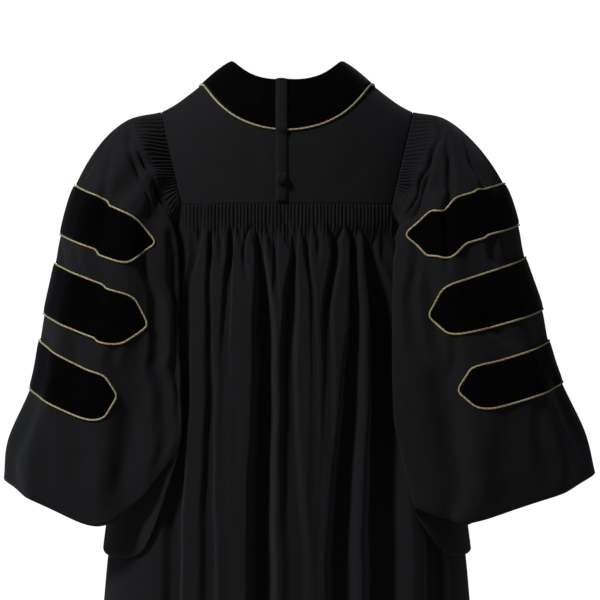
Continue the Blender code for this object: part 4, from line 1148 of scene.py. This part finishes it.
def end_places(side, ring, reach, front, t):
    """How far the bar's end reaches at shares t of its width, with round corners."""
    *reach, point = reach
    x = np.array(reach) + (FRONT_REACH if front else 0.0)
    corners = reach_place(side, ring + np.array((0.0, point, 1.0)), x, front)
    above, below = (corners[0] - corners[1]) / point, (corners[2] - corners[1]) / (1 - point)
    away = t - point
    rounded = np.sqrt(away**2 + POINT_ROUNDING**2) - POINT_ROUNDING * 0.55
    place = corners[1] + (above + below) / 2 * rounded + (below - above) / 2 * away
    near = np.clip(1 - np.minimum(t, 1 - t) / BAR_ROUNDING, 0, 1)
    return place + CORNER_REACH * (1 - np.sqrt(1 - near**2)) * (1 if front else -1)


def bar_grid(side, number, ring, reach, t, s):
    """Places (round, down) on the sleeve of a bar's grid; t runs down it and s from back to front."""
    back = end_places(side, ring, reach, False, t)
    front = end_places(side, ring, reach, True, t)
    at = mix(back[:, None], front[:, None], s[None, :])
    down = ring + np.broadcast_to(t[:, None], at.shape)
    if (side, number) in BAR_STEPS:
        where, shift = BAR_STEPS[side, number]
        down = down + shift * (ease((at - where) / 0.05 + 0.5) - 0.5)
    if (side, number) == WAVY_BAR:
        down = down + WAVE_DROP * trough(at - WAVE_PLACE, WAVE_REACH / 2)
    return down, at


def build_bar(side, word, number, ring, reach):
    t = np.linspace(0.0, 1.0, 29)
    t = 0.5 - 0.5 * np.cos(np.pi * t) * 0.5 + (t - 0.5) * 0.5
    s = stops((0.0, 0.5, 56), (0.5, 1.0, 40))
    down, at = bar_grid(side, number, ring, reach, t, s)
    points, normals = sleeve_point(side, down, at)
    edge = np.minimum(np.minimum(t, 1 - t)[:, None] * 0.07, np.minimum(s, 1 - s)[None, :] * 0.35)
    fullness = BAR_FULLNESS * (1 - np.exp(-edge / 0.004))
    raised = points + normals * (BAR_LIFT + fullness)[..., None]
    piece = shell(f"bar_{word}_{number}_velvet", raised, VELVET_SHELL, VELVET, side < 0)
    belongs(piece, "velvet", f"bar_{word}_{number}")
    build_bar_piping(side, word, number, down, at)


def build_bar_piping(side, word, number, down, at):
    """The piping runs round the bar's outline, just outside it."""
    outline = [np.concatenate((grid[0, :-1], grid[:-1, -1], grid[-1, :0:-1], grid[:0:-1, 0]))
               for grid in (down, at)]
    loop = [np.concatenate((values, values[:1])) for values in sleeve_point(side, *outline)]
    total = lengths(loop[0])
    even = np.linspace(0.0, total[-1], int(total[-1] / PIPING_STEP), endpoint=False)
    line, up = (at_length(values, total, even) for values in loop)
    for _ in range(2):
        line = (np.roll(line, 1, axis=0) + 2 * line + np.roll(line, -1, axis=0)) / 4
    up = unit(up)
    path = beside(line, up, -side * BAR_BESIDE, PIPING_LIFT, closed=True)
    piece = tube(f"bar_{word}_{number}_piping", path, up, PIPING_RADIUS, GOLD, closed=True)
    belongs(piece, "piping", f"piping_bar_{word}_{number}")


# The hood strap and its button


def strap_lift(z):
    """The strap lies on the yoke, then climbs the collar's piping and the collar."""
    lift = mix(STRAP_ON_YOKE, STRAP_ON_COLLAR, ease((z - COLLAR_BACK_Z + 0.014) / 0.012))
    return lift + (STRAP_OVER_PIPING - STRAP_ON_COLLAR) * trough(z - COLLAR_BACK_Z + 0.002, 0.006)


def strap_grid(across, z):
    across, z = np.meshgrid(across, z)
    x = STRAP_X + across * STRAP_WIDTH / 2
    angle = arch_angle(x, z)
    step = 1e-4
    sideways = arch_point(x + step, angle) - arch_point(x - step, angle)
    upward = arch_point(x, angle + step) - arch_point(x, angle - step)
    normals = unit(np.cross(upward, sideways))
    round_edges = STRAP_FULLNESS * (1 - np.abs(across) ** 2.6)
    round_edges = round_edges + waver((0.0004, z * 150, 0.5), (0.0003, z * 390, 1.1))
    return arch_point(x, angle) + normals * (strap_lift(z) + round_edges)[..., None], normals


def build_strap():
    across = np.linspace(-1, 1, 25)
    heights = -stops((-0.004, 0.060, 24), (0.060, 0.100, 34), (0.100, 0.203, 30))
    points, normals = strap_grid(across, heights)
    piece = shell("hood_strap_cloth", points, STRAP_SHELL, POPLIN)
    belongs(piece, "poplin", "hood_strap")
    for column in (2, -3):
        SEAMS.run(points[:, column], normals[:, column], STRAP_SHELL, *STRAP_STITCH)


BUTTON_PROFILE = (
    # share of the radius, share of the height
    (0.00, 1.00), (0.30, 0.985), (0.55, 0.92), (0.76, 0.79), (0.90, 0.60), (0.97, 0.42),
    (0.985, 0.30), (0.96, 0.18), (0.88, 0.06), (0.78, 0.00), (0.00, 0.00),
)


BUTTON_SIDES = 48
BUTTON_LIFT = 0.0013


def build_button():
    """A domed button covered in poplin, gathered a little at its rim."""
    near = np.array((-1, 0, 1))
    grid, normals = strap_grid(0.1 * near, BUTTON_Z - 0.002 * near)
    foot, out = grid[1, 1], normals[1, 1]
    aside = unit(np.cross((0.0, 0.0, 1.0), out))
    up = np.cross(out, aside)
    turn = 2 * np.pi * np.arange(BUTTON_SIDES) / BUTTON_SIDES
    points = []
    for share, height in BUTTON_PROFILE:
        pucker = 1 + 0.012 * np.cos(11 * turn) * ease((share - 0.8) / 0.15)
        radius = share * BUTTON_RADIUS * pucker
        ring = aside * (np.cos(turn) * radius)[:, None] + up * (np.sin(turn) * radius)[:, None]
        points.append(foot + out * (BUTTON_LIFT + height * BUTTON_HEIGHT) + ring)
    points = np.array(points)
    faces = grid_faces(len(points), BUTTON_SIDES, closed=True).tolist()
    piece = mesh_piece("hood_button_cover", points, faces, POPLIN, points[..., ::2])
    weld = piece.modifiers.new("Weld", "WELD")
    weld.merge_threshold = 0.00002
    belongs(piece, "poplin", "hood_button")


# Stage, light and camera

CAMERA_TARGET = (-0.02275, 0.0, -0.371)
CAMERA_DISTANCE = 3.5
CAMERA_LENS = 120
FLOOR_Z = -1.60
AMBIENT = 0.05


def area_light(name, place, target, size, power):
    light = bpy.data.lights.new(name, "AREA")
    light.shape = "DISK"
    light.size = size
    light.energy = power
    lamp = linked(name, light)
    lamp.location = place
    lamp.rotation_euler = (Vector(target) - Vector(place)).to_track_quat("-Z", "Y").to_euler()


def build_stage():
    bpy.ops.mesh.primitive_circle_add(vertices=96, radius=2.4, fill_type="NGON",
                                      location=(0, 0, FLOOR_Z))
    floor = bpy.context.object
    floor.name = "floor"
    floor.data.materials.append(pale_floor())
    bpy.ops.mesh.primitive_uv_sphere_add(segments=32, ring_count=16, radius=12)
    dome = bpy.context.object
    dome.name = "white_backdrop"
    for rays in ("diffuse", "glossy", "transmission", "shadow"):
        setattr(dome, "visible_" + rays, False)
    dome.data.materials.append(white_backdrop())
    world = bpy.data.worlds.new("white_surroundings")
    world.use_nodes = True
    surroundings = world.node_tree.nodes["Background"].inputs
    surroundings["Color"].default_value = (1.0, 1.0, 1.0, 1)
    surroundings["Strength"].default_value = AMBIENT
    bpy.context.scene.world = world
    bpy.context.scene.view_settings.view_transform = "Standard"
    area_light("key", (2.3, 2.0, 2.5), (0, 0, -0.35), 0.8, 74)
    area_light("front", (0.4, -3.0, 0.4), (0, 0, -0.5), 1.4, 45)


def build_camera():
    data = bpy.data.cameras.new("camera")
    data.lens = CAMERA_LENS
    data.sensor_width = 36
    camera = linked("camera", data)
    camera.location = (CAMERA_TARGET[0], CAMERA_DISTANCE, CAMERA_TARGET[2])
    camera.rotation_euler = (math.pi / 2, 0.0, math.pi)
    bpy.context.scene.camera = camera


def build_gown():
    build_back_panel()
    build_yoke()
    build_collar()
    build_collar_piping()
    build_fronts()
    for side, word, bars in ((1, "left", LEFT_BARS), (-1, "right", RIGHT_BARS)):
        build_sleeve(side, word)
        for number, (ring, reach) in enumerate(zip(BAR_RINGS, bars), 1):
            build_bar(side, word, number, ring, reach)
    build_strap()
    build_button()
    SEAMS.made("stitches", THREAD)


build_camera()
build_gown()
build_stage()
